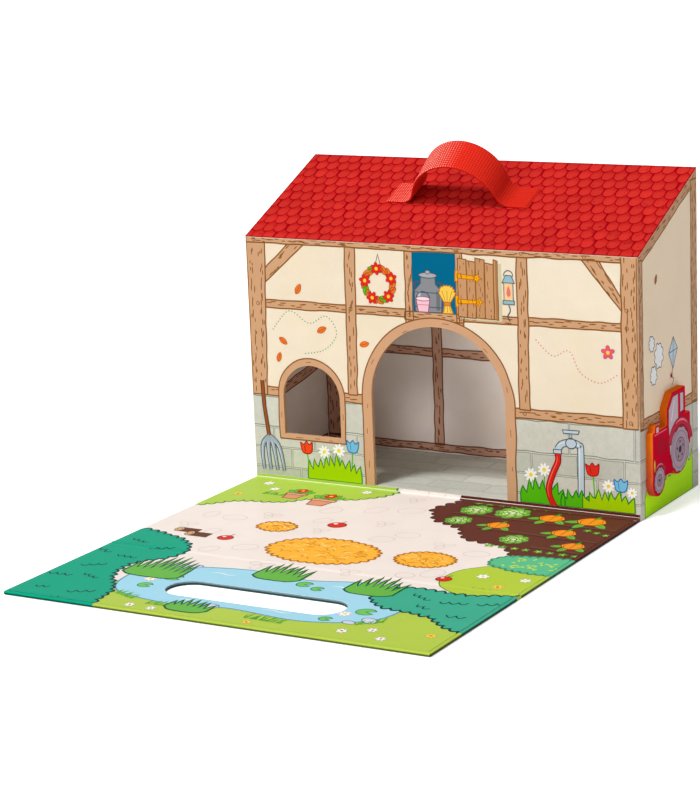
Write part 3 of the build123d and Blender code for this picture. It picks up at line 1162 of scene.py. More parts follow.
def front_frame():
    made = Frame("front_timbers", 1)
    for ends in [
        (-137, -126, 63.5, 70), (-76, -58, 63.5, 70), (58, 140, 63.5, 70), (-135, -66, 127.5, 133),
        (-64, -22, 127.2, 132.8), (20, 64, 127, 132.5), (68, 140, 127.5, 133),
    ]:
        made.rail(*ends, 0)
    made.timber((-134.5, 155.4), (-113.7, 175), (-100.8, 175), (-134.5, 145.7), 0)
    made.timber((108.8, 175), (138.6, 140.7), (138.6, 149.3), (121.3, 175), 0)
    made.post(-69.5, -61, 69, 175, 2, foot=(-70.1, -63.1))
    made.post(62.6, 70.5, 69.4, 175, 2)
    made.post(-22.3, -16.3, 120, 175, 2)
    made.post(16.5, 22, 120, 175, 2)
    made.rail(-23.5, 22.5, 125.8, 131.8, 2)
    made.post(-WALL_PRINT_HALF, -134, 63.8, 174.5, 4, foot=(-WALL_PRINT_HALF, -137.3))
    made.rail(-WALL_PRINT_HALF, WALL_PRINT_HALF, 173.6, 178.5, 6)
    made.post(138, WALL_PRINT_HALF, 62.5, 178, 8)
    for x, z, level in [
        (141.8, 141.9, 10), (141.7, 129.9, 10), (143.8, 66.5, 10), (66.3, 66.7, 4),
        (66.2, 176, 8), (111.9, 175.6, 8), (-143, 175.8, 8), (-66, 130.4, 4),
        (-19.5, 129, 5), (19.6, 128.8, 5), (-141.5, 130, 6), (17.8, 176, 8),
        (-19, 176, 8),
    ]:
        made.peg(x, z, level)
    made.finish(front_face, FRONT_LIMITS)


def arch_trim(sheet, centre, half, low, top, jamb, crown, foot=0):
    """The printed surround of an arched hole, wider at its jambs than at its crown."""
    level = 9
    spring = top - half
    left = evenly([(centre - half, low), (centre - half, spring)], 5)
    arch = arc_points((centre, spring), half, 180, 0, 48)
    right = evenly([(centre + half, spring), (centre + half, low)], 5)
    inner = left + arch + right
    outer = [(u - jamb, v) for u, v in left]
    for u, v in arch:
        width = jamb + (crown - jamb) * max(0, (v - spring) / half)
        reach = (half + width) / half
        outer.append((centre + (u - centre) * reach, spring + (v - spring) * reach))
    outer += [(u + jamb, v) for u, v in right]
    strayed = [
        (u + noise.noise(Vector((u * 0.05, v * 0.05, level))) * 0.9, v) for u, v in outer
    ]
    if foot:
        far_left, far_right = centre - half - jamb, centre + half + jamb
        strayed = [(far_left, low - foot), *strayed, (far_right, low - foot)]
        inner = [(centre - half, low), *inner, (centre + half, low)]
    count = len(inner)
    faces = [(i, i + 1, count + i + 1, count + i) for i in range(count - 1)]
    sheet.add(strayed + inner, faces, TRIM, level)
    if foot:
        sheet.fill([strayed[0], inner[0], inner[-1], strayed[-1]], TRIM, level)
    sheet.line(strayed, 0.9, TIMBER_LINE, level + 1, closed=bool(foot))


# Grain marks on the trims: across, up, length and turn.
TRIM_MARKS = [
    (-55.5, 20, 5, 88), (-56.2, 44, 4, 92), (-55.2, 62, 3, 85), (-50, 94, 4, 60),
    (-24, 117, 4, 28), (8, 124.4, 5, -4), (38, 108, 4, -42), (53.6, 82, 4, -80),
    (55.6, 52, 5, 91), (56.2, 27, 3, 88), (-112, 34.2, 6, -2), (-97, 34.6, 4, 2),
    (-86, 34, 3, 0), (-75.4, 52, 4, 90), (-126, 50, 4, 90), (-102, 89.8, 4, 2),
]


def front_surrounds():
    sheet = Print()
    arch_trim(sheet, 0, DOOR_HALF, FRONT_PRINT_FOOT, DOOR_TOP, 7.4, 6.2)
    arch_trim(sheet, WINDOW_X, WINDOW_HALF, WINDOW_SILL, WINDOW_TOP, 3.8, 5.2, foot=3.6)
    for u, v, length, turn in TRIM_MARKS:
        mark = moved([(-length / 2, 0), (length / 2, 0)], (u, v), turn)
        sheet.line(mark, 0.5, TIMBER_LINE, 11, taper=True)
    lay_piece("door_and_window_trim", sheet, front_face, FRONT_LIMITS)


def strap_hinge(sheet, x, z, length, tilt, level):
    """A yellow strap hinge with a star-shaped end."""
    star = []
    for corner in range(10):
        reach = 3.6 if corner % 2 == 0 else 1.7
        angle = math.radians(36 * corner)
        star.append((length + 1.5 + reach * math.cos(angle), reach * math.sin(angle)))
    bar = [(0, -1.5), (length, -1.1), (length, 1.1), (0, 1.5)]
    for shape in (star, bar, rectangle(-1.6, -3.8, 0.6, 3.8)):
        outline = moved(drawn_ring(shape, 0.2, x, 1.5), (x, z), tilt)
        sheet.outlined(outline, BRASS, BRASS_LINE, 0.5, level)
    for pin in (2.6, length * 0.55, length + 1.5):
        sheet.fill(oval(around((x, z), pin, tilt), 0.45, 0, 8), BRASS_LINE, level + 2)


def loft_print():
    """The blue loft opening with dairy things in it, and the open shutter beside it."""
    sheet = Print()
    sheet.fill(drawn_ring(rectangle(-16.6, 131.6, 16.7, 173.4), 0.4, 3), LOFT_BLUE, 4)
    churn(sheet)
    sheaf(sheet)
    pail(sheet)
    boards = [18.4, 25.2, 31.8, 38.6, 45.4, 48.4]
    tops = [170.4, 169.2, 171, 168, 170.6]
    sheet.fill(drawn_ring(rectangle(19.5, 128.6, 51.4, 168), 0.4, 8), ink(214, 202, 168), 3)
    for number, (left, right, top) in enumerate(zip(boards, boards[1:], tops)):
        outline = [(left, 130.2), (right, 129.8), (right, top - 0.8), (left, top)]
        tone = between(SHUTTER, TIMBER_DARK, 0.25 * (number % 3))
        sheet.outlined(drawn_ring(outline, 0.5, number + 3, 3.5), tone, TIMBER_LINE, 0.7, 4)
    edge_board = [(46.8, 130.4), (48.3, 130.4), (48.3, 169.4), (46.8, 169.8)]
    sheet.fill(edge_board, ink(176, 122, 78), 6)
    strap_hinge(sheet, 18, 158.2, 13, -3, 6)
    strap_hinge(sheet, 18, 140.8, 14.5, 1, 6)
    lay_piece("loft_and_shutter", sheet, front_face, limits(-16.6, 60, 125, 176))
    board_middles = ((22, 168), (28.5, 168), (35.2, 168), (42, 166))
    lines = [((u, 133, 0.12), (u, top, 0.12)) for u, top in board_middles]
    grain = grain_mesh("shutter_lines", lines, [2] * 4, 4.2, 2.4, 0.28, TIMBER_LINE, 31)
    lay_piece("shutter_grain", grain, front_face)


def churn(sheet):
    """A big grey milk churn."""
    pale = ink(172, 174, 180)
    for side in (-1, 1):
        ear = [(-4.5 + side * u, v) for u, v in [(7, 153), (10.4, 151.6), (9.4, 147)]]
        sheet.line(flowing(ear, False, 4), 1.5, SLATE_LINE, 5)
    body = [
        (-14.6, 131.8), (5.6, 131.8), (6.2, 146.5), (1.4, 151.5), (1.2, 156.5), (-10.2, 156.5),
        (-10.4, 151.5), (-15.2, 146.5),
    ]
    sheet.outlined(drawn_ring(body, 0.25, 9, 2), ink(140, 142, 148), SLATE_LINE, 0.7, 6)
    gleam = [(-12.6, 133.4), (-10.4, 133.4), (-10.4, 146.2), (-12.6, 145.6)]
    sheet.fill(gleam, ink(188, 192, 198), 8)
    shadow = [(1.6, 133.4), (4.4, 133.4), (4.6, 145.6), (1.8, 147)]
    sheet.fill(shadow, ink(112, 114, 122), 8)
    for v in (135.4, 145.4):
        sheet.line([(-14.9, v), (6, v)], 0.6, SLATE_LINE, 9)
    sheet.outlined(oval((-4.5, 157.4), (7, 1.9), 0, 22), pale, SLATE_LINE, 0.6, 9)
    sheet.outlined(oval((-4.5, 159.6), (1.9, 1.3), 0, 14), pale, SLATE_LINE, 0.5, 10)


def sheaf(sheet):
    """A small tied sheaf of straw."""
    ears = [(4, 145), (5.2, 149.6), (9.6, 151), (14.2, 149.8), (16, 145)]
    outline = [
        (6.4, 131.8), (8, 138.6), *leafy(ears, 2.2, 4, False), (12, 138.6), (14.4, 131.8),
    ]
    sheet.outlined(outline, ink(250, 206, 84), STRAW_LINE, 0.6, 10)
    for u in (-2.6, 0, 2.6):
        for path in (
            [(10 + u * 1.5, 147.6), (10 + u * 0.5, 139.6)],
            [(10 + u * 0.5, 137.4), (10 + u * 1.1, 132.6)],
        ):
            sheet.line(path, 0.4, STRAW_LINE, 12, taper=True)
    sheet.outlined(rectangle(7.6, 137.4, 12.4, 139.6), ink(240, 130, 50), STRAW_LINE, 0.5, 13)


def pail(sheet):
    """A pink pail in front of the churn."""
    line = ink(150, 84, 110)
    sheet.line(arc_points((-8.6, 140.8), 5.2, 8, 172, 14), 0.7, SLATE_LINE, 11)
    body = [(-12.4, 131.8), (-4.8, 131.8), (-3.2, 141), (-14, 141)]
    sheet.outlined(body, ink(246, 196, 212), line, 0.6, 12)
    sheet.outlined(oval((-8.6, 141), (5.4, 1.5), 0, 20), ink(252, 224, 232), line, 0.5, 14)
    sheet.line([(-13.2, 136.8), (-4.1, 136.8)], 0.5, ink(206, 130, 156), 14)


def lantern(sheet, u, v):
    """A lantern on a nail beside the shutter."""
    steel = ink(150, 190, 204)
    pen = 0.55
    sheet.line(arc_points((u, v + 10), 3.4, -10, 190, 12), 0.6, SLATE_LINE, 9)
    roof = [(u - 4.6, v + 5), (u + 4.6, v + 5), (u + 2.2, v + 10), (u - 2.2, v + 10)]
    sheet.outlined(roof, steel, SLATE_LINE, pen, 11)
    glass = rectangle(u - 3.4, v - 7, u + 3.4, v + 5)
    sheet.outlined(glass, ink(250, 206, 150), SLATE_LINE, pen, 10)
    flame = [(u, v + 3), (u - 1.6, v - 2.2), (u, v - 4.6), (u + 1.6, v - 2.2)]
    sheet.fill(flowing(flame, True, 3), ink(236, 120, 120), 12)
    sheet.outlined(rectangle(u - 4.2, v - 9.6, u + 4.2, v - 7), steel, SLATE_LINE, pen, 12)
    tassel = [(u, v - 9.8), (u + 1, v - 14), (u - 1, v - 18), (u + 0.8, v - 21)]
    sheet.line(flowing(tassel, False, 5), 0.8, SLATE_LINE, 9)


def dotted(sheet, points, colour):
    """A dotted curve, as of something the wind carries."""
    for number, spot in enumerate(spaced(flowing(points, False, 12), 2.5)):
        sheet.fill(oval(spot, 0.5, 0, 7), colour, 8 + 0.002 * number)


def side_frame(name, place, seed, run):
    """Half-timbering under the sloping eave; run is 1 where u runs to the back."""
    made = Frame(name, seed)
    half = SIDE_PRINT_HALF

    def roof_level(u):
        return EAVE + (run * u - FRONT_Y) * math.tan(PITCH) - 0.3

    low, high = roof_level(-half), roof_level(half)
    made.rail(-half, half, 61, 68, 0)
    made.timber((-half, low + 1), (half, high + 1), (half, high - 7.2), (-half, low - 7.2), 2)
    for edge, width in ((-half * run, 5.6), (half * run, 11)):
        left, right = sorted((edge, edge + (width if edge < 0 else -width)))
        made.post(left, right, 62, roof_level((left + right) / 2) - 4, 4)
    made.peg(-half * run * 0.92, 65, 6)
    made.peg(half * run * 0.9, 65.5, 6)
    roof_edge = (FRONT_Y * run, EAVE - 0.35, 0)
    upward = (-math.sin(PITCH) * run, math.cos(PITCH), 0)
    made.finish(place, [*limits(-half, half, 0.2, 230), (roof_edge, upward)])


def back_frame():
    made = Frame("back_timbers", 60)
    half = WALL_PRINT_HALF
    made.rail(-half, half, 63.5, 70, 0)
    made.rail(-140, 140, 142, 148, 0)
    for sign in (1, -1):
        foot, head = -136 * sign, -100 * sign
        made.timber((foot, 182), (head, 216), (head + 10 * sign, 216), (foot, 171), 0)
    for x in (-80, 0, 80):
        made.post(x - 4.2, x + 4.2, 68, 216, 2)
    made.post(-half, -138, 62, 222, 4)
    made.post(138, half, 62, 222, 4)
    made.rail(-half, half, 214, 223, 6)
    for x in (-144, -80, 0, 80, 144):
        made.peg(x, 66.5, 6)
        made.peg(x, 218, 8)
    made.finish(back_face, limits(-half, half, 0.2, 222))


def inside_frames():
    # Painted light: the inside timbers take the lightened timber colour.
    back = Frame("inside_back_timbers", 80, INSIDE_TIMBER_PAINTED_LIGHT, INSIDE_LINE)
    back.rail(-147, 147, 77.5, 83.5, 0)
    back.rail(-147, 147, 6, 11.6, 2)
    for x, half in ((-141, 5.5), (-52, 3.8), (44, 3.8), (141, 5.5)):
        back.post(x - half, x + half, 11, 214, 2)
    back.peg(-52, 8.8, 4)
    back.peg(44, 8.8, 4)
    back.finish(inside_back, limits(-147, 147, 5, 214), "lining_print")
    for name, place, seed, run in (
        ("inside_left_timbers", inside_left, 90, 1),
        ("inside_right_timbers", inside_right, 95, -1),
    ):
        made = Frame(name, seed, INSIDE_TIMBER_PAINTED_LIGHT, INSIDE_LINE)
        made.rail(-48, 48, 77.5, 83.5, 0)
        made.rail(-48, 48, 6, 11.6, 2)
        made.timber((-46 * run, 98), (-8 * run, 150), (2 * run, 150), (-46 * run, 88), 0)
        made.timber((-40 * run, 57.5), (44 * run, 72), (44 * run, 65), (-40 * run, 50.5), 0)
        made.post(*sorted((-48 * run, -40 * run)), 11, 168, 2)
        made.finish(place, limits(-48, 48, 5, 172), "lining_print")


# ------------ roof
def tile_shape():
    """One scale tile: a dark rim round a red middle that darkens upwards."""
    half = 4.72
    round_middle = 5.4
    side_foot = 9.2
    side_top = 14.0
    rim = 1.0

    def outline(shrink):
        radius = half - 0.64 * shrink
        low = arc_points((0, round_middle), (radius, round_middle - shrink), 180, 360, 10)
        left = [(-radius, side_top), (-radius, side_foot)]
        return [*left, *low, (radius, side_foot), (radius, side_top)]

    outer = outline(0)
    inner = outline(rim)
    sheet = Print()
    count = len(outer)
    faces = [(i, i + 1, count + i + 1, count + i) for i in range(count - 1)]
    sheet.add(outer + inner, faces, TILE_LINE, 0)
    for index in range(count // 2):
        ring = inner[index], inner[index + 1], inner[count - 2 - index], inner[count - 1 - index]
        sheet.add(list(ring), [(0, 1, 2, 3)], TILE_RED, 0)
    mesh = sheet.to_mesh("scale_tile")
    body = bmesh.new()
    body.from_mesh(mesh)
    layer = body.loops.layers.float_color["ink"]
    redder = TILE_LINE[0] * 1.3
    middle = [face for face in body.faces if face.loops[0][layer][0] > redder]
    edges = list({edge for face in middle for edge in face.edges})
    bmesh.ops.subdivide_edges(body, edges=edges, cuts=1, use_grid_fill=True)
    for face in body.faces:
        for loop in face.loops:
            if loop[layer][0] > redder:
                u, v, _ = loop.vert.co
                dark = min(1, max(0, (v - 7.2) / 3.4)) * 0.7
                dark += min(1, max(0, (abs(u) - 1.6) / 2.4)) * 0.25
                loop[layer] = between(TILE_RED, TILE_DEEP, min(1, dark))
    for vertex in body.verts:
        vertex.co.z = 0.0
    body.to_mesh(mesh)
    body.free()
    return bpy.data.objects.new("scale_tile", mesh)


def roof_print():
    tile = tile_shape()
    tiles = grown(
        TILE_TREE, bpy.data.meshes.new("roof_tiles_seed"), Tile=tile, Columns=35, Rows=12,
        Tile_Width=9.1, Row_Height=10.4, First_Row=-3.4, Tilt=0.011, Stray=0.42, Seed=11,
        Paper=TILE_PRINT,
    )
    bpy.data.objects.remove(tile)
    whole = limits(-149.9, 149.9, 0.08, SLOPE - 0.1)
    lay_piece("roof_tiles", tiles, roof_face, whole, slot="roof_print")
    sheet = Print()
    border = evenly(rectangle(-149.6, 0.35, 149.6, SLOPE - 0.4), 12, True)
    sheet.line(border, 0.7, TILE_LINE, 14, closed=True)
    chance = random.Random(21)
    for _ in range(150):
        u = chance.uniform(-146, 146)
        v = chance.uniform(3, 26) if chance.random() < 0.7 else chance.uniform(26, 108)
        for stroke in range(chance.randint(2, 3)):
            spot = (u + stroke * 0.8, v)
            mark = moved([(0, -0.9), (0.15, 0.9)], spot, chance.uniform(-25, 5))
            sheet.line(mark, 0.26, TILE_LINE, 13)
    whole = limits(-149.95, 149.95, 0, SLOPE - 0.05)
    lay_piece("roof_print_lines", sheet, roof_face, whole, slot="roof_print")


# ------------ handle
# A strip of webbing that arches over the roof, with a flare at each foot and a tail
# tucked under the roof board.  Its back edge rises higher than its front edge.
STRAP_THICKNESS = 1.5
STRAP_WIDTH = 25.0
STRAP_SPAN = 109.0
STRAP_FOOT = 12.5
STRAP_RISE_FRONT = 30.2
STRAP_RISE_BACK = 36.4
STRAP_FLARE = 10.0
STRAP_BEND = 1.5
STRAP_TAIL = 20.0
STRAP_MIDDLE_X = -6.0
STRAP_FROM_EAVE = 63.3


def strap_middle_line(rise):
    """The webbing's middle line from tail to tail: (x, height, heading) at even steps."""
    half_arch = STRAP_SPAN / 2 - STRAP_FOOT
    flare_angle = 2 * math.atan(rise / half_arch)
    crown = (half_arch**2 + rise**2) / (2 * rise) - STRAP_FLARE
    tail_level = -LINED_WALL - STRAP_THICKNESS / 2
    drop = STRAP_THICKNESS / 2 - tail_level - 2 * STRAP_BEND
    quarter = math.pi / 2
    # Each move is (length or radius, turn, steps); a turn of 0 is a straight run.
    down = [
        (STRAP_TAIL, 0, 10), (STRAP_BEND, quarter, 8), (drop, 0, 3), (STRAP_BEND, -quarter, 8),
        (STRAP_FOOT - STRAP_BEND, 0, 10), (STRAP_FLARE, flare_angle, 14),
    ]
    x = -STRAP_SPAN / 2 - STRAP_BEND - STRAP_TAIL
    height = tail_level
    heading = 0.0
    line = [(x, height, heading)]
    for size, angle, steps in [*down, (crown, -2 * flare_angle, 90), *reversed(down)]:
        for _ in range(steps):
            turn = angle / steps
            length = 2 * size * math.sin(abs(turn) / 2) if turn else size / steps
            x += math.cos(heading + turn / 2) * length
            height += math.sin(heading + turn / 2) * length
            heading += turn
            line.append((x, height, heading))
    return line


def carrying_strap():
    """One piece of webbing between the middle lines of its front and back edges."""
    front = strap_middle_line(STRAP_RISE_FRONT)
    back = strap_middle_line(STRAP_RISE_BACK)
    # Across the webbing, and how full it is there: thinner at the selvedges.
    across = [0, 0.02, 0.06] + [0.06 + 0.88 * k / 12 for k in range(1, 12)] + [0.94, 0.98, 1]
    fullness = [0.45, 0.8, 1] + [1] * 11 + [1, 0.8, 0.45]
    top = [(share, full * STRAP_THICKNESS / 2, 0) for share, full in zip(across, fullness)]
    section = top + [(share, -half, UNDERSIDE_SHIFT) for share, half, _ in reversed(top)]
    body = bmesh.new()
    uv_layer = body.loops.layers.uv.new("weave")
    rings = []
    lengths = []
    travelled = 0.0
    for index, (a, b) in enumerate(zip(front, back)):
        if index:
            travelled += math.dist(a[:2], front[index - 1][:2])
        lengths.append(travelled)
        ring = []
        for share, shift, _ in section:
            x, height, heading = between(a, b, share)
            x -= math.sin(heading) * shift
            height += math.cos(heading) * shift
            v = STRAP_FROM_EAVE + (share - 0.5) * STRAP_WIDTH
            spot = roof_face(STRAP_MIDDLE_X + x, v, height)
            ring.append(body.verts.new(Vector(spot) * MM))
        rings.append(ring)
    count = len(section)
    for index in range(len(rings) - 1):
        for step in range(count):
            corners = [
                (index, step), (index + 1, step), (index + 1, (step + 1) % count),
                (index, (step + 1) % count),
            ]
            face = body.faces.new([rings[row][place] for row, place in corners])
            for loop, (row, place) in zip(face.loops, corners):
                v = section[place][0] * STRAP_WIDTH + section[step][2]
                loop[uv_layer].uv = (lengths[row], v)
            face.smooth = True
    body.faces.new(rings[0])
    body.faces.new(list(reversed(rings[-1])))
    bmesh.ops.recalc_face_normals(body, faces=body.faces[:])
    mesh = bpy.data.meshes.new("carrying_strap")
    body.to_mesh(mesh)
    body.free()
    strap = add_piece("carrying_strap", mesh, "barn", "webbing", WEBBING)
    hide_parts("handle_strap")


# ------------ flowers
def flower(sheet, u, v, radius, petals, petal, eye, level, turn=0, edge=None, slim=0.3):
    for number in range(petals):
        angle = turn + 360 * number / petals
        shape = oval(
            around((u, v), radius * 0.6, angle), (radius * 0.46, radius * slim), angle, 12
        )
        if edge:
            sheet.line(shape, 0.45, edge, level, closed=True)
        sheet.fill(shape, petal, level + 1)
    sheet.fill(oval((u, v), radius * 0.3, 0, 12), eye, level + 2)


# Half of a tulip's cup, from its foot to its middle tip.
TULIP_HALF = [(0.42, 0.12), (0.56, 0.5), (0.6, 1.05), (0.28, 0.85)]


def tulip(sheet, u, v, stem, size, petal, edge, level, lean=0):
    top = (u + lean, v + stem)
    sheet.line([(u, v), (u + lean * 0.4, v + stem * 0.6), top], 0.9, GRASS_DEEP, level)
    left = [(-across, up) for across, up in TULIP_HALF]
    cup = flowing([(0, 0), *left, (0, 1.15), *reversed(TULIP_HALF)], True, 3)
    sheet.outlined(moved(cup, top, -lean * 4, size), petal, edge, 0.7, level + 1)
    rib = [(-0.16, 0.2), (-0.22, 0.6), (-0.2, 0.78)]
    sheet.line(moved(rib, top, -lean * 4, size), 0.45, edge, level + 3, taper=True)


def leaf(sheet, spot, length, turn, colour, edge, level):
    shape = [(-0.5, 0), (-0.2, 0.24), (0.2, 0.22), (0.5, 0), (0.2, -0.22), (-0.2, -0.24)]
    outline = moved(flowing(shape, True, 3), spot, turn, length)
    sheet.outlined(outline, colour, edge, 0.4, level)
    sheet.line(moved([(-0.5, 0), (0.35, 0)], spot, turn, length), 0.35, edge, level + 2)


def grass_clump(
    sheet, u, v, width, height, level, seed, tone=GRASS, edge=GRASS_LINE, pen=0.8, sag=0.0
):
    blades = max(4, round(width / 4.6))
    outline = tuft_outline(width, height, blades, seed, 0.3 if sag else 0.53)
    if sag:
        half, inner = width / 2, width * 0.28
        outline += flowing([(half, 0), (inner, -sag), (-inner, -sag), (-half, 0)], False, 4)[1:-1]
    sheet.outlined(moved(outline, (u, v)), tone, edge, pen, level)


def wall_flowers():
    """Grass, tulips and daisies at the foot of the front wall, and what hangs above them."""
    sheet = Print()
    low = FRONT_PRINT_FOOT
    sky_line = ink(24, 110, 176)
    for u, stem, colour, edge in [
        (-105, 18, ink(246, 74, 30), ink(150, 20, 10)), (-70, 22, SKY, sky_line),
        (117, 23, RED, ink(166, 24, 10)), (136, 14, SKY, sky_line),
    ]:
        tulip(sheet, u, low, stem, 8, colour, edge, 8, lean=(u % 3) - 1)
    for u, v, radius in [
        (-92, 25.5, 4.6), (-80, 27.5, 4.8), (70, 24.5, 4.8), (80, 29, 4.6), (127, 22, 4.4),
        (144, 19, 3.6),
    ]:
        sheet.line([(u, low), (u, v)], 0.8, GRASS_DEEP, 8)
        flower(sheet, u, v, radius, 9, WHITE, YELLOW, 10, turn=u, edge=ink(206, 206, 200), slim=0.2)
    grass_clump(sheet, -84, low, 44, 19.5, 12, 1)
    grass_clump(sheet, 78.5, low, 33, 19, 12, 2, GRASS_DEEP, ink(24, 130, 30))
    grass_clump(sheet, 103, low, 22, 13, 12, 6, GRASS_DEEP, ink(24, 130, 30))
    grass_clump(sheet, 127, low, 38, 15, 14, 4)
    for u, v, length, turn in [
        (-108, 142, 8, 60), (-122, 104, 7.5, -35), (-90, 114, 8, 25), (-126, 92, 7, 70),
        (-56, 106, 7.5, 15),
    ]:
        leaf(sheet, (u, v), length, turn, ink(240, 120, 40), ink(188, 70, 20), 9)
    wreath(sheet, (-43, 149))
    lantern(sheet, 56.4, 150.5)
    breeze = [
        (-130, 112), (-116, 126), (-100, 118), (-86, 124), (-78, 112), (-88, 100), (-104, 96),
    ]
    dotted(sheet, breeze, ink(96, 168, 128))
    petals = [(76, 118), (88, 108), (100, 112), (108, 98), (122, 92), (134, 98)]
    dotted(sheet, petals, ink(232, 130, 150))
    blossom = ink(238, 90, 120)
    flower(sheet, 128, 113, 4.6, 5, blossom, YELLOW, 10, turn=20, edge=ink(170, 30, 60))
    pitchfork(sheet)
    tap(sheet)
    planes = limits(-WALL_PRINT_HALF, WALL_PRINT_HALF, 4.85, 176)
    lay_piece("wall_flowers", sheet, front_face, planes)


def wreath(sheet, middle):
    """A ring of red flowers and leaves hung beside the loft."""
    radius = 11.0
    sheet.line(moved([(-3, 10), (0, 21), (3, 10)], middle), 0.6, OUTLINE, 8)
    sheet.line(oval(middle, radius, 0, 40), 3.4, ink(206, 110, 50), 9, closed=True)
    for number in range(16):
        angle = 360 * number / 16
        green = number % 4 == 1
        tone = GRASS_DEEP if green else ink(236, 124, 44)
        edge = ink(40, 120, 40) if green else ink(176, 66, 20)
        leaf(sheet, around(middle, radius, angle), 8.4, angle + 58, tone, edge, 10)
    for number in range(5):
        angle = 25 + 360 * number / 5
        spot = around(middle, radius, angle)
        flower(sheet, *spot, 4.2, 6, RED, YELLOW, 14, turn=angle, edge=ink(150, 20, 20))


def pitchfork(sheet):
    """A four-tined hay fork that leans against the left corner."""
    handle = [(-141.2, 74), (-140.4, 56), (-137.2, 31)]
    sheet.line(handle, 3.4, ink(74, 44, 30), 9)
    sheet.line(handle, 2.2, ink(150, 82, 44), 10)
    for side in (-1.5, -0.5, 0.5, 1.5):
        bends = [
            (-137, 33), (-136.6 + side * 3.7, 28.5), (-135.8 + side * 5.2, 21),
            (-134.2 + side * 5.6, 8.6),
        ]
        tine = flowing(bends, False, 6)
        widths = [3.5 - 1.9 * k / (len(tine) - 1) for k in range(len(tine))]
        sheet.line(tine, [w + 1.2 for w in widths], SLATE_LINE, 11)
        sheet.line(tine, widths, ink(160, 172, 184), 12)
        sheet.line(moved(tine[4:-2], (-0.4, 0)), 0.5, ink(210, 224, 230), 13, taper=True)


def tube(sheet, bends, pens, edge, tone, level):
    """A bent tube, and the line that it follows."""
    line = flowing(bends, False, 7)
    sheet.line(line, pens[0], edge, level)
    sheet.line(line, pens[1], tone, level + 1)
    return line


def tap(sheet):
    """A garden tap on its pipe, with a length of red hose."""
    steel = ink(196, 212, 222)
    bends = [(90, 42), (90.4, 36), (86.4, 27), (83.2, 17), (84.6, 9), (88.4, 3)]
    hose = tube(sheet, bends, (4.6, 3.4), ink(140, 20, 20), ink(226, 36, 30), 15)
    sheet.line(moved(hose[3:-8], (-0.7, 0)), 0.5, ink(250, 130, 110), 17, taper=True)
    bends = [(107, 8), (107.2, 43), (106, 48), (100.5, 49.6), (93.5, 48), (90.2, 44)]
    pipe = tube(sheet, bends, (5.2, 3.9), SLATE_LINE, steel, 9)
    sheet.line(moved(pipe[2:-4], (-1, 0.3)), 0.8, ink(232, 242, 248), 11, taper=True)
    sheet.outlined(oval((100.2, 49), (4, 3.5), 0, 20), steel, SLATE_LINE, 0.7, 12)
    stalk = [(99.4, 52), (101, 52), (100.8, 56.2), (99.6, 56.2)]
    sheet.outlined(stalk, steel, SLATE_LINE, 0.5, 12)
    handle = drawn_ring([(94.8, 55.8), (105.6, 55.8), (106.4, 58.2), (94, 58.2)], 0.3, 4, 2)
    sheet.outlined(handle, steel, SLATE_LINE, 0.6, 13)
    sheet.outlined(rectangle(87.2, 41.2, 93, 44), steel, SLATE_LINE, 0.6, 18)


# ------------ tractor
TRACTOR_LINE = ink(104, 0, 28)


def mudguard(sheet, centre, radii, ends, count, tone, pen):
    """A curved band over a wheel, with its outer and inner radius."""
    outline = arc_points(centre, radii[0], *ends, count)
    outline += arc_points(centre, radii[1], *reversed(ends), count)
    sheet.outlined(outline, tone, TRACTOR_LINE, pen, 3)


def wheel(sheet, centre, radius, hub):
    tyre_line = ink(84, 50, 72)
    black = ink(50, 24, 44)
    reaches = [radius if step % 6 < 3 else radius * 0.955 for step in range(72)]
    rim = [around(centre, reach, 5 * step) for step, reach in enumerate(reaches)]
    sheet.outlined(rim, ink(186, 160, 176), tyre_line, 0.55, 6)
    sheet.line(oval(centre, radius * 0.8, 0, 40), 0.5, ink(132, 104, 124), 8, closed=True)
    sheet.outlined(oval(centre, hub, 0, 30), ink(168, 142, 160), tyre_line, 0.6, 8)
    sheet.fill(oval(centre, hub * 0.3, 0, 16), black, 10)
    for bolt in range(5):
        spot = around(centre, hub * 0.66, 72 * bolt + 20)
        sheet.fill(oval(spot, hub * 0.13, 0, 8), black, 10)


def tractor_print():
    sheet = Print()
    light = ink(250, 124, 144)
    rear = (55.8, 37)
    front = (20, 24)
    cab = [
        (44, 76), (53.2, 76.4), (53.2, 57.2), (47, 50), (43, 38), (38.8, 36),
        (36.4, 56), (36.6, 68.4),
    ]
    rear_pane = [(56.4, 76), (62.2, 75.6), (62.6, 62.8), (56.6, 62.2)]
    for seed, pane in ((2, cab), (3, rear_pane)):
        sheet.outlined(drawn_ring(pane, 0.15, seed, 3), ink(214, 190, 202), TRACTOR_LINE, 0.7, 0)
    sheet.line([(46, 73), (41.4, 60)], 1, WHITE, 2, taper=True)
    mudguard(sheet, rear, (22.4, 16.8), (12, 158), 26, ink(206, 20, 62), 0.6)
    sheet.line(arc_points(rear, 20.4, 50, 110, 14), 1.3, light, 5, taper=True)
    mudguard(sheet, front, (12, 9.2), (30, 138), 16, ink(196, 10, 50), 0.5)
    sheet.line(arc_points(front, 11, 60, 120, 10), 0.9, light, 5, taper=True)
    wheel(sheet, rear, 15.8, 8.2)
    wheel(sheet, front, 8.9, 4)
    for number in range(4):
        vent = moved([(0, 42.6), (1.6, 43.2), (1.9, 52), (0.3, 51.4)], (18.0 + number * 4, 0))
        sheet.line(flowing(vent, True, 3), 0.5, TRACTOR_LINE, 1, closed=True)
    sheet.line([(12, 56.2), (32.6, 56.4)], 0.9, light, 1, taper=True)
    sheet.fill(rectangle(15.2, 57.4, 19, 60.8), ink(222, 206, 216), 1)
    lamp = oval((11.9, 35.5), (1.2, 4.2), 0, 16)
    sheet.outlined(lamp, ink(250, 196, 70), ink(190, 110, 20), 0.4, 4)
    lay_piece("tractor_print", sheet, tractor_face, slot="stained_wood")


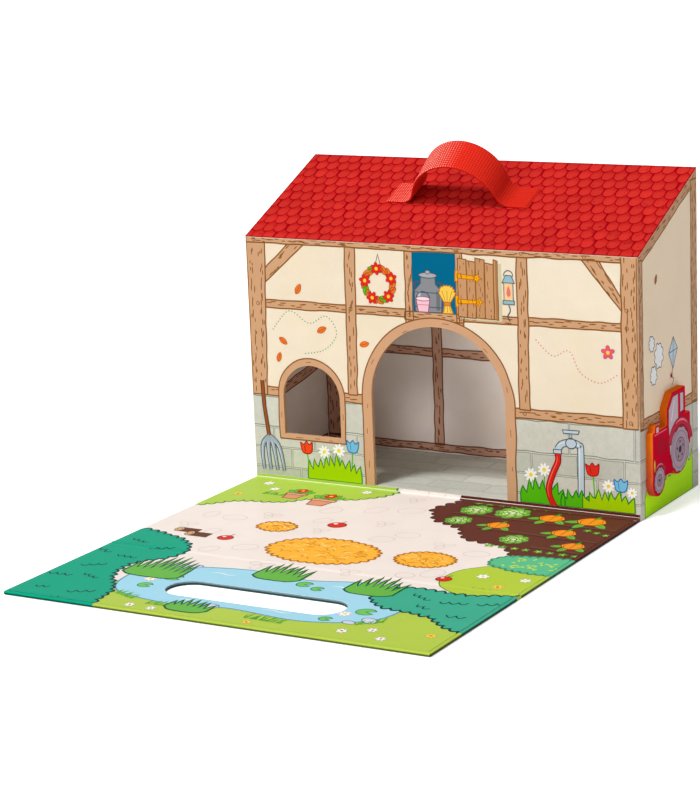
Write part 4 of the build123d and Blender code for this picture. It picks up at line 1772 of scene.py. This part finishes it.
def right_wall_print():
    """Steam puffs and a kite above the tractor, and the grass that it stands on."""
    sheet = Print()
    for u, v, size in [(-27, 94, 4.4), (-18, 106, 6), (-30, 116, 3.8)]:
        puff = leafy(oval((u, v), (size, size * 1.25), 0, 20), size * 0.9, int(u + v))
        sheet.outlined(puff, PURE_WHITE, SLATE_LINE, 0.6, 5)
    bank = [(-44, 0.3), (-44, 14)]
    for number in range(12):
        u = -43.5 + number * 7.0
        rise = (u + 44) * 0.09
        blade = [(1.2, 15.5), (4.2, 20.5 + number % 3), (5.2, 16)]
        bank += moved(blade, (u, rise))
    bank += [(39.5, 20), (39.5, 0.3)]
    # Painted light: the bank's green is brighter than the front's grass, to lift this side's shade.
    sheet.outlined(bank, ink(192, 255, 0), GRASS_LINE, 0.7, 5)
    kite = [(6, 92), (14, 105), (7, 114), (-1, 104)]
    sheet.outlined(kite, ink(206, 222, 232), SLATE_LINE, 0.6, 7)
    for spar in (kite[::2], kite[::-2]):
        sheet.line(spar, 0.5, SLATE_LINE, 9)
    tail = flowing([(6, 92), (3, 88), (7, 85), (4, 81)], False, 5)
    sheet.line(tail, 0.6, SLATE_LINE, 7)
    sheet.fill([(1.4, 90.4), (5, 86.6), (5.2, 90.6), (1.6, 86.8)], RED, 9)
    leaf(sheet, (-22, 158), 6.5, 70, ink(206, 120, 60), ink(110, 50, 30), 7)
    planes = limits(-SIDE_PRINT_HALF, SIDE_PRINT_HALF, 0.2, 200)
    lay_piece("steam_and_grass", sheet, right_face, planes)


# ------------ play board
# The paper over the folds, as (y, height): it dips between the panels, and behind
# the inner panel it climbs the barn's front as a lip.
FOLD_TOP = 2.46
FRONT_DIP = 0.3
REAR_DIP = [
    (-58.0, FOLD_TOP), (-57.3, 2.45), (-56.4, 2.38), (-55.4, 2.22), (-54.6, 2.1), (-53.9, 2.05),
    (-53.2, 2.05), (-52.5, 2.1), (-51.95, 2.2), (-51.5, 2.45), (-51.28, 2.9), (-51.24, 4.75),
]
LIP_START = -51.4
LIP_TOP = -48.9
LIP_FACE_Y = -51.26
LIP_FOOT_HEIGHT = 2.35
LIP_RISE = 2.42
LIP_BACK = (-51.02, 4.75)
DIP_END = -51.5
FOLD_FOOT = 0.02
FOLD_STEPS = 30
# The folds' prints are inset by this much, and cut this finely to bend.
FOLD_PRINT_INSET = 0.05
BEND_PITCH = 0.55


def front_dip(y):
    """Height of the paper over the front fold, dipping in the middle."""
    share = (y - FRONT_FOLD_Y) / (INNER_FRONT_Y - FRONT_FOLD_Y)
    return FOLD_TOP - FRONT_DIP * (0.5 + 0.5 * math.cos(math.pi * min(1, abs(share))))


def rear_dip(y):
    for (y0, z0), (y1, z1) in zip(REAR_DIP, REAR_DIP[1:]):
        if y0 <= y <= y1:
            return z0 + (z1 - z0) * (y - y0) / (y1 - y0)
    return REAR_DIP[0][1]


def panel_face(u, v, height):
    """The flat top of either panel."""
    return (u, v, BOARD_TOP + height)


def board_face(u, v, height):
    """Lays the picture over the folds: down into the dips and up the lip."""
    if v > LIP_START:
        rise = (v - LIP_START) / (LIP_TOP - LIP_START)
        return (u, LIP_FACE_Y - height, LIP_FOOT_HEIGHT + rise * LIP_RISE)
    if v > INNER_REAR_Y:
        return (u, v, rear_dip(min(v, DIP_END)) + height)
    return (u, v, front_dip(v) + height)


def fold_body(name, profile, left_end, right_end):
    """A closed paper strip with the given top profile, from the board's left to its right."""
    steps = [-FOLD_HALF + 2 * FOLD_HALF * k / FOLD_STEPS for k in range(FOLD_STEPS + 1)]
    ring = profile + [(y, FOLD_FOOT) for y, z in reversed(profile)]
    body = bmesh.new()
    rows = [[body.verts.new((x * MM, y * MM, z * MM)) for y, z in ring] for x in steps]
    count = len(ring)
    for first, second in zip(rows, rows[1:]):
        for index in range(count):
            following = (index + 1) % count
            body.faces.new((first[index], second[index], second[following], first[following]))
    ends = {body.faces.new(rows[0]): left_end, body.faces.new(rows[-1][::-1]): right_end}
    bmesh.ops.recalc_face_normals(body, faces=body.faces[:])
    layer = body.loops.layers.float_color.new("ink")
    for face in body.faces:
        for loop in face.loops:
            loop[layer] = ends.get(face, YARD)
    mesh = bpy.data.meshes.new(name)
    body.to_mesh(mesh)
    body.free()
    return add_piece(name, mesh, None, "hinge_print", INK_PRINT)


def slot_ring(grow):
    half = (SLOT_LENGTH - SLOT_WIDTH) / 2
    radius = SLOT_WIDTH / 2 + grow
    right = arc_points((SLOT_X + half, SLOT_Y), radius, -90, 90, 20)
    return right + arc_points((SLOT_X - half, SLOT_Y), radius, 90, 270, 20)


def hedge(sheet, outline, level, seed, bump=5, tone=HEDGE, edge=HEDGE_DARK):
    sheet.outlined(leafy(outline, bump, seed), tone, edge, 1.6, level)


def hedge_marks(sheet, spots):
    """Little rows of leaf curves inside a bush."""
    chance = random.Random(3)
    for spot in spots:
        turn = chance.uniform(-30, 30)
        steps = range(chance.choice((9, 13, 13)))
        wave = [(step * 1.25 - 6, -abs(math.sin(step * math.pi / 4)) * 3) for step in steps]
        sheet.line(moved(wave, spot, turn, chance.uniform(0.9, 1.3)), 1, HEDGE_DARK, 8)


# Outlines on the board: across and back, in millimetres.
MEADOW_LINE = [
    (-156, -40), (-110, -40), (-46, -40), (-34, -58), (-50, -80), (-78, -88), (-98, -106),
    (-126, -112), (-142, -128), (-158, -128),
]
FIELD_LINE = [
    (158, -150), (126, -158), (110, -182), (92, -204), (94, -232), (120, -248), (158, -244),
]
FRONT_LAWN_LINE = [
    (-160, -356), (-150, -310), (-112, -304), (-84, -304), (-66, -317), (-34, -320), (0, -320),
    (34, -320), (66, -318.5), (84, -304), (104, -288), (120, -282), (160, -280), (160, -356),
]
BED_LINE = [
    (18, -38), (22, -60), (12, -80), (24, -104), (50, -116), (64, -138), (96, -144), (110, -160),
    (160, -156), (160, -38),
]
POND_RING = [
    (-96, -292), (-88, -268), (-60, -258), (-24, -252), (14, -257), (52, -248), (86, -256),
    (98, -282), (90, -312), (52, -328), (0, -324), (-40, -330), (-84, -320),
]
# Stones on the pond's edge: point of the edge, turn and size.
POND_STONES = [
    (9, 10, 1.5), (11, 40, 1.1), (31, 60, 1.3), (33, 90, 1.6), (48, 150, 1.4), (50, 170, 1),
    (62, 200, 1.7), (64, 220, 1.2),
]
LEFT_HEDGE_LINE = [
    (-160, -214), (-128, -204), (-98, -220), (-92, -244), (-110, -268), (-106, -296), (-88, -322),
    (-92, -362), (-160, -362),
]
RIGHT_HEDGE_LINE = [
    (160, -238), (120, -248), (84, -246), (66, -262), (82, -284), (118, -290), (136, -304),
    (160, -306),
]
BUSH_LINE = [(158, -160), (132, -158), (106, -166), (104, -182), (128, -190), (158, -188)]
HEDGE_SPOTS = [
    (-134, -222), (-112, -232), (-140, -250), (-122, -256), (-132, -280), (-140, -304),
    (-118, -300), (-106, -330), (-132, -330), (-114, -346), (96, -258), (118, -262), (140, -256),
    (134, -284), (108, -276),
]
# Tall grass: across, back, width, height and seed.
BOARD_TUFTS = [
    (-84, -284, 42, 40, 3), (-6, -260, 34, 30, 5), (-24, -335, 30, 19, 8), (62, -264, 34, 34, 9),
]


def board_picture():
    """A plain farmyard from above: a yard, a meadow, a kitchen garden, hedges and a pond."""
    sheet = Print()
    hedge(sheet, flowing(MEADOW_LINE, True, 5), 0, 6, 6.5, MEADOW, MEADOW_DARK)
    sheet.outlined(flowing(FIELD_LINE, True, 5), ink(182, 206, 64), MEADOW_DARK, 0.8, 0)
    sheet.outlined(flowing(FRONT_LAWN_LINE, True, 5), LAWN, LAWN_DARK, 0.6, 0)
    sheet.outlined(leafy(BED_LINE, 9, 5), SOIL, SOIL_DARK, 0.9, 2)
    pond = flowing(POND_RING, True, 6)
    sheet.fill(pond, POND, 3, holes=[slot_ring(0.05)])
    sheet.line(pond, 1.3, POND_LINE, 4, closed=True)
    for place, turn, size in POND_STONES:
        outline = oval(pond[place % len(pond)], (4.4 * size, 2.9 * size), turn, 16)
        stone = drawn_ring(outline, 0.4, place, 1.5)
        sheet.outlined(stone, ink(206, 214, 232), SLATE_LINE, 0.6, 5)
    kitchen_garden(sheet)
    hedge(sheet, flowing(LEFT_HEDGE_LINE, True, 3), 5, 5, 7)
    hedge(sheet, flowing(RIGHT_HEDGE_LINE, True, 3), 6, 8, 7, HEDGE_PALE)
    hedge(sheet, flowing(BUSH_LINE, True, 3), 5, 11, 5.5, BUSH, ink(52, 140, 100))
    hedge_marks(sheet, HEDGE_SPOTS)
    chance = random.Random(21)
    for _ in range(34):
        u = chance.uniform(112, 150)
        v = chance.uniform(-184, -164)
        mark = moved(oval((0, 0), (1.9, 0.9), 0, 8), (u, v), chance.uniform(0, 180))
        sheet.fill(mark, ink(190, 222, 90), 7)
    straw_stacks(sheet)
    yard_marks(sheet)
    yard_things(sheet)
    board_blossoms(sheet)
    for u, v, width, height, seed in BOARD_TUFTS:
        tone = ink(104, 180, 72)
        grass_clump(sheet, u, v, width, height, 8, seed, tone, ink(16, 84, 48), 1.4, 5)
    return sheet


def rosette(sheet, middle, radius):
    """A lettuce seen from above."""
    tones = (ink(116, 178, 60), ink(150, 204, 84), ink(192, 228, 124), ink(224, 242, 176))
    for ring, tone in enumerate(tones):
        count = 8 - ring
        size = (radius * 0.36, radius * (0.36 - 0.05 * ring))
        for number in range(count):
            angle = 360 * number / count + ring * 23
            spot = around(middle, radius * (0.66 - 0.19 * ring), angle)
            shape = drawn_ring(oval(spot, size, angle, 14), 0.5, angle, 1.8)
            sheet.outlined(shape, tone, LEAF_LINE, 0.45, 6 + ring * 2)


def pumpkin(sheet, middle, radius):
    for turn in (200, 250, 320):
        spot = around(middle, radius * 1.25, turn)
        leaf(sheet, spot, radius * 1.2, turn, ink(112, 184, 62), LEAF_LINE, 6)
    rim = []
    for step in range(16):
        angle = step / 16 * math.tau
        across = math.cos(angle) * (1 + 0.06 * math.cos(angle * 6))
        rim.append((across, 0.86 * math.sin(angle)))
    rim = moved(rim, middle, 0, radius)
    sheet.outlined(rim, ink(246, 148, 34), ink(132, 52, 16), 0.7, 8)
    for offset in (-0.5, 0, 0.5):
        rib = moved([(offset, 0.7), (offset * 1.5, 0), (offset, -0.7)], middle, 0, radius)
        sheet.line(flowing(rib, False, 4), 0.6, ink(176, 78, 16), 10, taper=True)
    foot, top = radius * 0.6, radius * 1.2
    stalk = moved([(-1, foot), (1, foot), (2.4, top), (0.6, top)], middle)
    sheet.outlined(stalk, GRASS_DEEP, LEAF_LINE, 0.4, 11)


# Furrows of the bed, from end to end.
DRILLS = [
    ((30, -62), (150, -58)), ((28, -88), (150, -88)), ((60, -114), (150, -118)),
    ((112, -142), (150, -144)),
]
# Plants of the bed: across, back and radius.
LETTUCES = [(40, -74, 11.5), (66, -72, 12.5), (40, -101, 9.5), (94, -128, 10)]
PUMPKINS = [
    (96, -74, 9), (70, -102, 8), (124, -72, 10), (118, -103, 8.5), (136, -128, 8),
]


def kitchen_garden(sheet):
    """Rows of lettuces and pumpkins with drills between them."""
    for number, drill in enumerate(DRILLS):
        sheet.line(wavy(drill, 1.2, number + 2, 5), 1.1, ink(60, 28, 24), 4)
        sheet.line(wavy(moved(drill, (0, 3)), 1, number + 9, 5), 0.8, ink(128, 84, 66), 4)
    for u, v, radius in LETTUCES:
        rosette(sheet, (u, v), radius)
    for u, v, radius in PUMPKINS:
        pumpkin(sheet, (u, v), radius)


def straw_stacks(sheet):
    """Heaps of straw seen from above: across, back, half sizes, bumps and seed."""
    for u, v, wide, deep, bump, seed in [
        (-8, -198, 38, 25, 6, 3), (62, -190, 19, 15, 4.4, 6), (-66, -160, 13, 10, 4.4, 9),
    ]:
        rim = oval((u, v), (wide, deep), 0, 40)
        sheet.outlined(leafy(rim, bump, seed), STRAW, STRAW_LINE, 1.6, 4)
        chance = random.Random(seed)
        for number in range(int(wide * 1.9)):
            reach = math.sqrt(chance.random()) * 0.84
            angle = chance.uniform(0, math.tau)
            spot = (u + wide * reach * math.cos(angle), v + deep * reach * math.sin(angle))
            arc = [(-2.2, 0), (-0.6, 0.9), (0.8, 0.8), (2.2, -0.2)]
            straw = moved(arc, spot, chance.uniform(-60, 60), chance.uniform(0.9, 1.6))
            tone = ink(222, 132, 24) if number % 3 else ink(255, 226, 140)
            sheet.line(straw, 0.9, tone, 6 + 0.004 * number, taper=True)


# Middles of the yard's paving stones and clover.
YARD_SPOTS = [
    (-10, -68), (-24, -100), (0, -92), (-2, -128), (-52, -112), (-44, -136), (-84, -138),
    (-104, -152), (-124, -150), (-126, -178), (-100, -186), (26, -146), (58, -158), (14, -160),
    (86, -166), (30, -232), (66, -224), (-60, -210), (-30, -240), (-80, -222), (80, -214),
    (-34, -158), (-2, -50),
]


def yard_marks(sheet):
    """Pale outlines of paving stones and clover in the yard."""
    chance = random.Random(14)
    for number, (u, v) in enumerate(YARD_SPOTS):
        size = chance.uniform(6, 9.5)
        if number % 3:
            outline = oval((u, v), (size, size * 0.72), chance.uniform(0, 90), 18)
            sheet.line(drawn_ring(outline, 1.6, u, 2.5), 0.6, YARD_LINE, 3, closed=True)
            continue
        for part in range(3):
            turn = 30 + 120 * part
            spot = around((u, v), size * 0.55, turn)
            outline = oval(spot, (size * 0.5, size * 0.36), turn, 14)
            sheet.line(outline, 0.6, YARD_LINE, 3 + 0.1 * part, closed=True)


def yard_things(sheet):
    """Small things left lying about the yard: logs, apples and flower pots."""
    bark = ink(104, 54, 30)
    clay_line = ink(120, 56, 40)
    for u, v in [(-116, -190), (-104, -196)]:
        log = rectangle(u - 8, v - 4.4, u + 7, v + 4.4)
        sheet.outlined(drawn_ring(log, 0.4, u, 2.5), bark, OUTLINE, 0.7, 4)
        end = (u - 8, v)
        sheet.outlined(oval(end, (3, 4.6), 0, 18), ink(222, 178, 130), OUTLINE, 0.6, 6)
        sheet.line(oval(end, (1.5, 2.4), 0, 14), 0.45, bark, 8, closed=True)
    for u, v, radius in [(-84, -196, 5.4), (-30, -142, 6.4), (92, -222, 5)]:
        sheet.outlined(oval((u, v), (radius, radius * 0.92), 0, 22), RED, ink(110, 14, 18), 0.8, 4)
        gleam = (u - radius * 0.36, v + radius * 0.36)
        sheet.fill(oval(gleam, (radius * 0.26, radius * 0.2), 30, 10), WHITE, 6)
        sheet.line([(u, v + radius * 0.8), (u + 2, v + radius + 3.4)], 0.8, clay_line, 6)
    for u, v, size in [(-70, -98, 1), (-96, -90, 0.85)]:
        for turn in (35, 65, 90, 115, 145):
            spot = around((u, v + 8 * size), 8.5 * size, turn)
            leaf(sheet, spot, 13.0 * size, turn, ink(120, 190, 66), LEAF_LINE, 4)
        pot = [(-6, -7), (6, -7), (8.4, 5), (-8.4, 5)]
        sheet.outlined(moved(pot, (u, v), 0, size), ink(226, 150, 116), clay_line, 0.8, 6)
        rim = moved(rectangle(-9.6, 4.6, 9.6, 8.6), (u, v), 0, size)
        sheet.outlined(rim, ink(238, 172, 138), clay_line, 0.8, 8)
        bloom = (u, v + 17 * size, 5.0 * size)
        flower(sheet, *bloom, 6, RED, YELLOW, 10, turn=15, edge=ink(130, 16, 16))


# Flowers on the board: across, back, radius, petals' and eye's inks.
BLOSSOMS = [
    (-130, -66, 4, WHITE, YELLOW), (-118, -78, 3.6, WHITE, YELLOW),
    (-136, -98, 3.6, YELLOW, STRAW_LINE), (-52, -62, 3.8, WHITE, YELLOW),
    (112, -208, 4, WHITE, YELLOW), (130, -224, 3.8, YELLOW, RED),
    (140, -206, 3.6, WHITE, YELLOW), (-60, -341, 3.2, WHITE, RED), (-44, -342, 3, WHITE, RED),
    (84, -334, 3.4, WHITE, RED), (100, -326, 3.2, WHITE, RED), (112, -338, 3.2, WHITE, RED),
    (136, -322, 3.4, YELLOW, RED), (24, -342, 3, YELLOW, RED),
]
# Lily pads: across, back and radius.
LILY_PADS = [
    (-66, -284, 6.4), (-74, -304, 5), (80, -298, 6.4), (64, -318.5, 4.2), (18, -265, 5.4),
    (30, -270, 4.2),
]


def board_blossoms(sheet):
    for u, v, radius, petal, eye in BLOSSOMS:
        flower(sheet, u, v, radius, 6, petal, eye, 4, turn=u + v, edge=SLATE)
    for u, v, radius in LILY_PADS:
        pad = [(u, v), *arc_points((u, v), (radius, radius * 0.9), 25, 335, 18)]
        sheet.outlined(pad, ink(112, 196, 96), ink(30, 110, 60), 0.7, 5)
    for u, v in [(-78, -292), (70, -306)]:
        lily_line = ink(196, 150, 190)
        flower(sheet, u, v, 4.4, 8, WHITE, YELLOW, 7, turn=u, edge=lily_line, slim=0.2)
    for u, v, length in [
        (-40, -266, 9), (44, -262, 8), (-30, -320, 8), (30, -318, 10), (88, -284, 6),
    ]:
        third = length / 3
        ripple = moved([(-length, 0), (-third, 1), (third, -0.6), (length, 0.4)], (u, v))
        sheet.line(flowing(ripple, False, 5), 0.9, WHITE, 5, taper=True)


def sprout_shape():
    """Two green leaves and a heart, for the ploughed bed."""
    sheet = Print()
    for turn in (25, 95, 165, 235, 305):
        outline = oval(around((0, 0), 1.5, turn), (1.8, 0.95), turn, 12)
        sheet.outlined(outline, ink(120, 190, 60), ink(40, 110, 40), 0.35, 0)
    sheet.fill(oval((0, 0), 1, 0, 10), ink(190, 224, 110), 2)
    return shape_object("sprout_shape", sheet)


def blade_shape():
    """One curved blade of grass."""
    sheet = Print()
    side = [(-0.7, 0), (-0.6, 3), (0.1, 6), (1.4, 8.4), (1, 5.6), (0.7, 2.8), (0.7, 0)]
    sheet.fill(side, ink(92, 172, 54), 0)
    return shape_object("blade_shape", sheet)


# Lines that sprouts and reeds grow along, from end to end.
SPROUT_ROWS = [((34, -58), (146, -54)), ((86, -146), (146, -148)), ((130, -92), (146, -98))]
REED_BANKS = [
    ((-82, -325), (-66, -331)), ((86, -322), (98, -312)), ((18, -336), (44, -337)),
    ((-52, -336), (-30, -335)), ((-120, -92), (-104, -92)), ((118, -236), (132, -238)),
]
GROWTH_HEIGHT = PRINT_LIFT + 6 * PRINT_STEP


def board_growth():
    """Sprouts in the furrows and reeds by the pond, as flat meshes in the board's plane."""
    made = []
    for name, lines, shape, pitch, smallest, largest, lean, seed in (
        ("sprout_rows", SPROUT_ROWS, sprout_shape(), 8.5, 0.8, 1.15, 1.5, 4),
        ("reed_lines", REED_BANKS, blade_shape(), 1.7, 0.6, 1.25, 0.4, 9),
    ):
        made.append(grown(
            SPROUT_TREE, line_mesh(name, lines, GROWTH_HEIGHT), Shape=shape, Pitch=pitch,
            Smallest=smallest, Largest=largest, Lean=lean, Seed=seed, Paper=INK_PRINT,
        ))
        bpy.data.objects.remove(shape)
    return made


def lay_board_picture():
    """Cuts the picture at the folds and lays each part on its face: the panels' parts on their own
    bodies, the folds' parts on none.
    """
    picture = board_picture()
    sprouts, reeds = board_growth()
    made = {}
    for name, body, low, high in (
        ("outer_board_print", "outer_board", SHEET_FRONT_Y, OUTER_REAR_Y),
        ("front_fold_print", None, OUTER_REAR_Y, INNER_FRONT_Y),
        ("inner_board_print", "inner_board", INNER_FRONT_Y, INNER_REAR_Y),
        ("rear_fold_print", None, INNER_REAR_Y, LIP_TOP),
    ):
        mesh = picture.to_mesh(name)
        mesh.materials.append(INK_PRINT)
        half = SHEET_HALF if body else FOLD_HALF - FOLD_PRINT_INSET
        cut_mesh(mesh, limits(-half, half, low, high))
        if not body:
            # Extra cuts, so that the print can bend.
            steps = round((high - low) / BEND_PITCH)
            levels = [low + (high - low) * step / steps for step in range(1, steps)]
            cut_mesh(mesh, [((0, y, 0), (0, 1, 0)) for y in levels], drop=False)
        place = panel_face if body else board_face
        made[name] = lay_piece(name, mesh, place, body=body, slot="board_print")
    inner = limits(-SHEET_HALF, SHEET_HALF, INNER_FRONT_Y, INNER_REAR_Y)
    outer = limits(-SHEET_HALF, SHEET_HALF, SHEET_FRONT_Y, OUTER_REAR_Y)
    for name, mesh, planes, body in (
        ("bed_sprouts", sprouts, inner, "inner_board"),
        ("meadow_blades", reeds.copy(), inner, "inner_board"),
        ("pond_reeds", reeds, outer, "outer_board"),
    ):
        lay_piece(name, mesh, panel_face, planes, body, "board_print")
    return made


def play_board():
    made = lay_board_picture()
    steps = 14
    ys = [OUTER_REAR_Y + (INNER_FRONT_Y - OUTER_REAR_Y) * k / steps for k in range(steps + 1)]
    rear = fold_body("rear_fold_strip", [*REAR_DIP, LIP_BACK], MEADOW, SOIL)
    front = fold_body("front_fold_strip", [(y, front_dip(y)) for y in ys], HEDGE, MEADOW)
    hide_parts("wall_hinge_strip", "inner_hinge_strip_rear")
    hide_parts("inner_hinge_strip_front", "outer_hinge_strip")
    for strip in (rear, made["rear_fold_print"]):
        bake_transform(strip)
    for strip in (front, made["front_fold_print"]):
        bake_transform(strip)


# ------------ build
front_frame()
front_surrounds()
loft_print()
wall_flowers()
side_frame("right_timbers", right_face, 40, 1)
side_frame("left_timbers", left_face, 50, -1)
right_wall_print()
back_frame()
inside_frames()
roof_print()
carrying_strap()
tractor_print()
play_board()


# ------------ camera, light
CAMERA_SPOT = Vector((0.77011, -1.49069, 0.44838))
CAMERA_TURN = math.radians(30.246)
CAMERA_DIP = math.radians(12.95)
CAMERA_ROLL = math.radians(-2.258)
CAMERA_LENS = 109.796
WORLD_LIGHT = 0.32
FLOOR_GLOW = 0.5
FLOOR_HALF = 6.0
FLOOR_LEVEL = -0.0002


def show(name, data):
    """An object in the scene that is no piece of the product."""
    made = bpy.data.objects.new(name, data)
    bpy.context.collection.objects.link(made)
    return made


def set_camera():
    c, s = math.cos(CAMERA_TURN), math.sin(CAMERA_TURN)
    level = math.cos(CAMERA_DIP)
    forward = Vector((-s * level, c * level, -math.sin(CAMERA_DIP)))
    right = Vector((c, s, 0.0))
    up = right.cross(forward)
    c, s = math.cos(CAMERA_ROLL), math.sin(CAMERA_ROLL)
    rotation = Matrix((right * c + up * s, up * c - right * s, -forward)).transposed()
    data = bpy.data.cameras.new("camera")
    data.lens = CAMERA_LENS
    data.sensor_width = 36.0
    data.clip_end = 20.0
    camera = show("camera", data)
    camera.matrix_world = Matrix.Translation(CAMERA_SPOT) @ rotation.to_4x4()
    bpy.context.scene.camera = camera


def seen_directly(tree):
    """1 for the camera, and for what glossy or clear surfaces show."""
    path = tree.add("ShaderNodeLightPath", out="Is Camera Ray")
    first = tree.maths("MAXIMUM", path, path.out("Is Glossy Ray"))
    return tree.maths("MAXIMUM", first, path.out("Is Transmission Ray"))


def set_floor():
    mesh = bpy.data.meshes.new("floor")
    corners = rectangle(-FLOOR_HALF, -FLOOR_HALF, FLOOR_HALF, FLOOR_HALF)
    mesh.from_pydata([(x, y, FLOOR_LEVEL) for x, y in corners], [], [(0, 1, 2, 3)])
    material, tree, _ = start_material("floor_white")
    set_shader(
        tree, Base_Color=(0.86, 0.86, 0.86, 1), Roughness=0.9, Specular_IOR_Level=0.0,
        Emission_Color=PURE_WHITE, Emission_Strength=seen_directly(tree) * FLOOR_GLOW,
    )
    mesh.materials.append(material)
    floor = show("floor", mesh)


def add_sun(name, towards, strength, spread):
    """A lamp at no distance, so the whole floor is lit alike."""
    data = bpy.data.lights.new(name, "SUN")
    data.energy = strength
    data.angle = math.radians(spread)
    turn = (-Vector(towards)).to_track_quat("-Z", "Y")
    show(name, data).rotation_euler = turn.to_euler()


def add_inside_lamp():
    """A weak soft lamp under the roof, for the light that the open barn gathers."""
    data = bpy.data.lights.new("inside_fill", "AREA")
    data.shape = "RECTANGLE"
    data.size = 0.12
    data.size_y = 0.05
    data.energy = 0.018
    data.spread = math.radians(84)
    lamp = show("inside_fill", data)
    lamp.location = (0.045, -0.02, 0.155)
    lamp.rotation_euler = (math.radians(48), 0.0, 0.0)
    lamp.visible_camera = False


def set_light():
    world = bpy.data.worlds.new("studio")
    bpy.context.scene.world = world
    world.use_nodes = True
    tree = Tree(world.node_tree)
    background = world.node_tree.nodes["Background"]
    level = tree.maths("MULTIPLY_ADD", seen_directly(tree), 1 - WORLD_LIGHT, WORLD_LIGHT)
    tree.join(PURE_WHITE, background.inputs["Color"])
    tree.join(level, background.inputs["Strength"])
    add_sun("key", (-0.14, -0.42, 0.9), 2.17, 12)
    add_sun("front_fill", (-0.38, -0.91, 0.33), 0.7, 20)


set_camera()
set_floor()
set_light()
add_inside_lamp()
bpy.context.scene.view_settings.view_transform = "Standard"
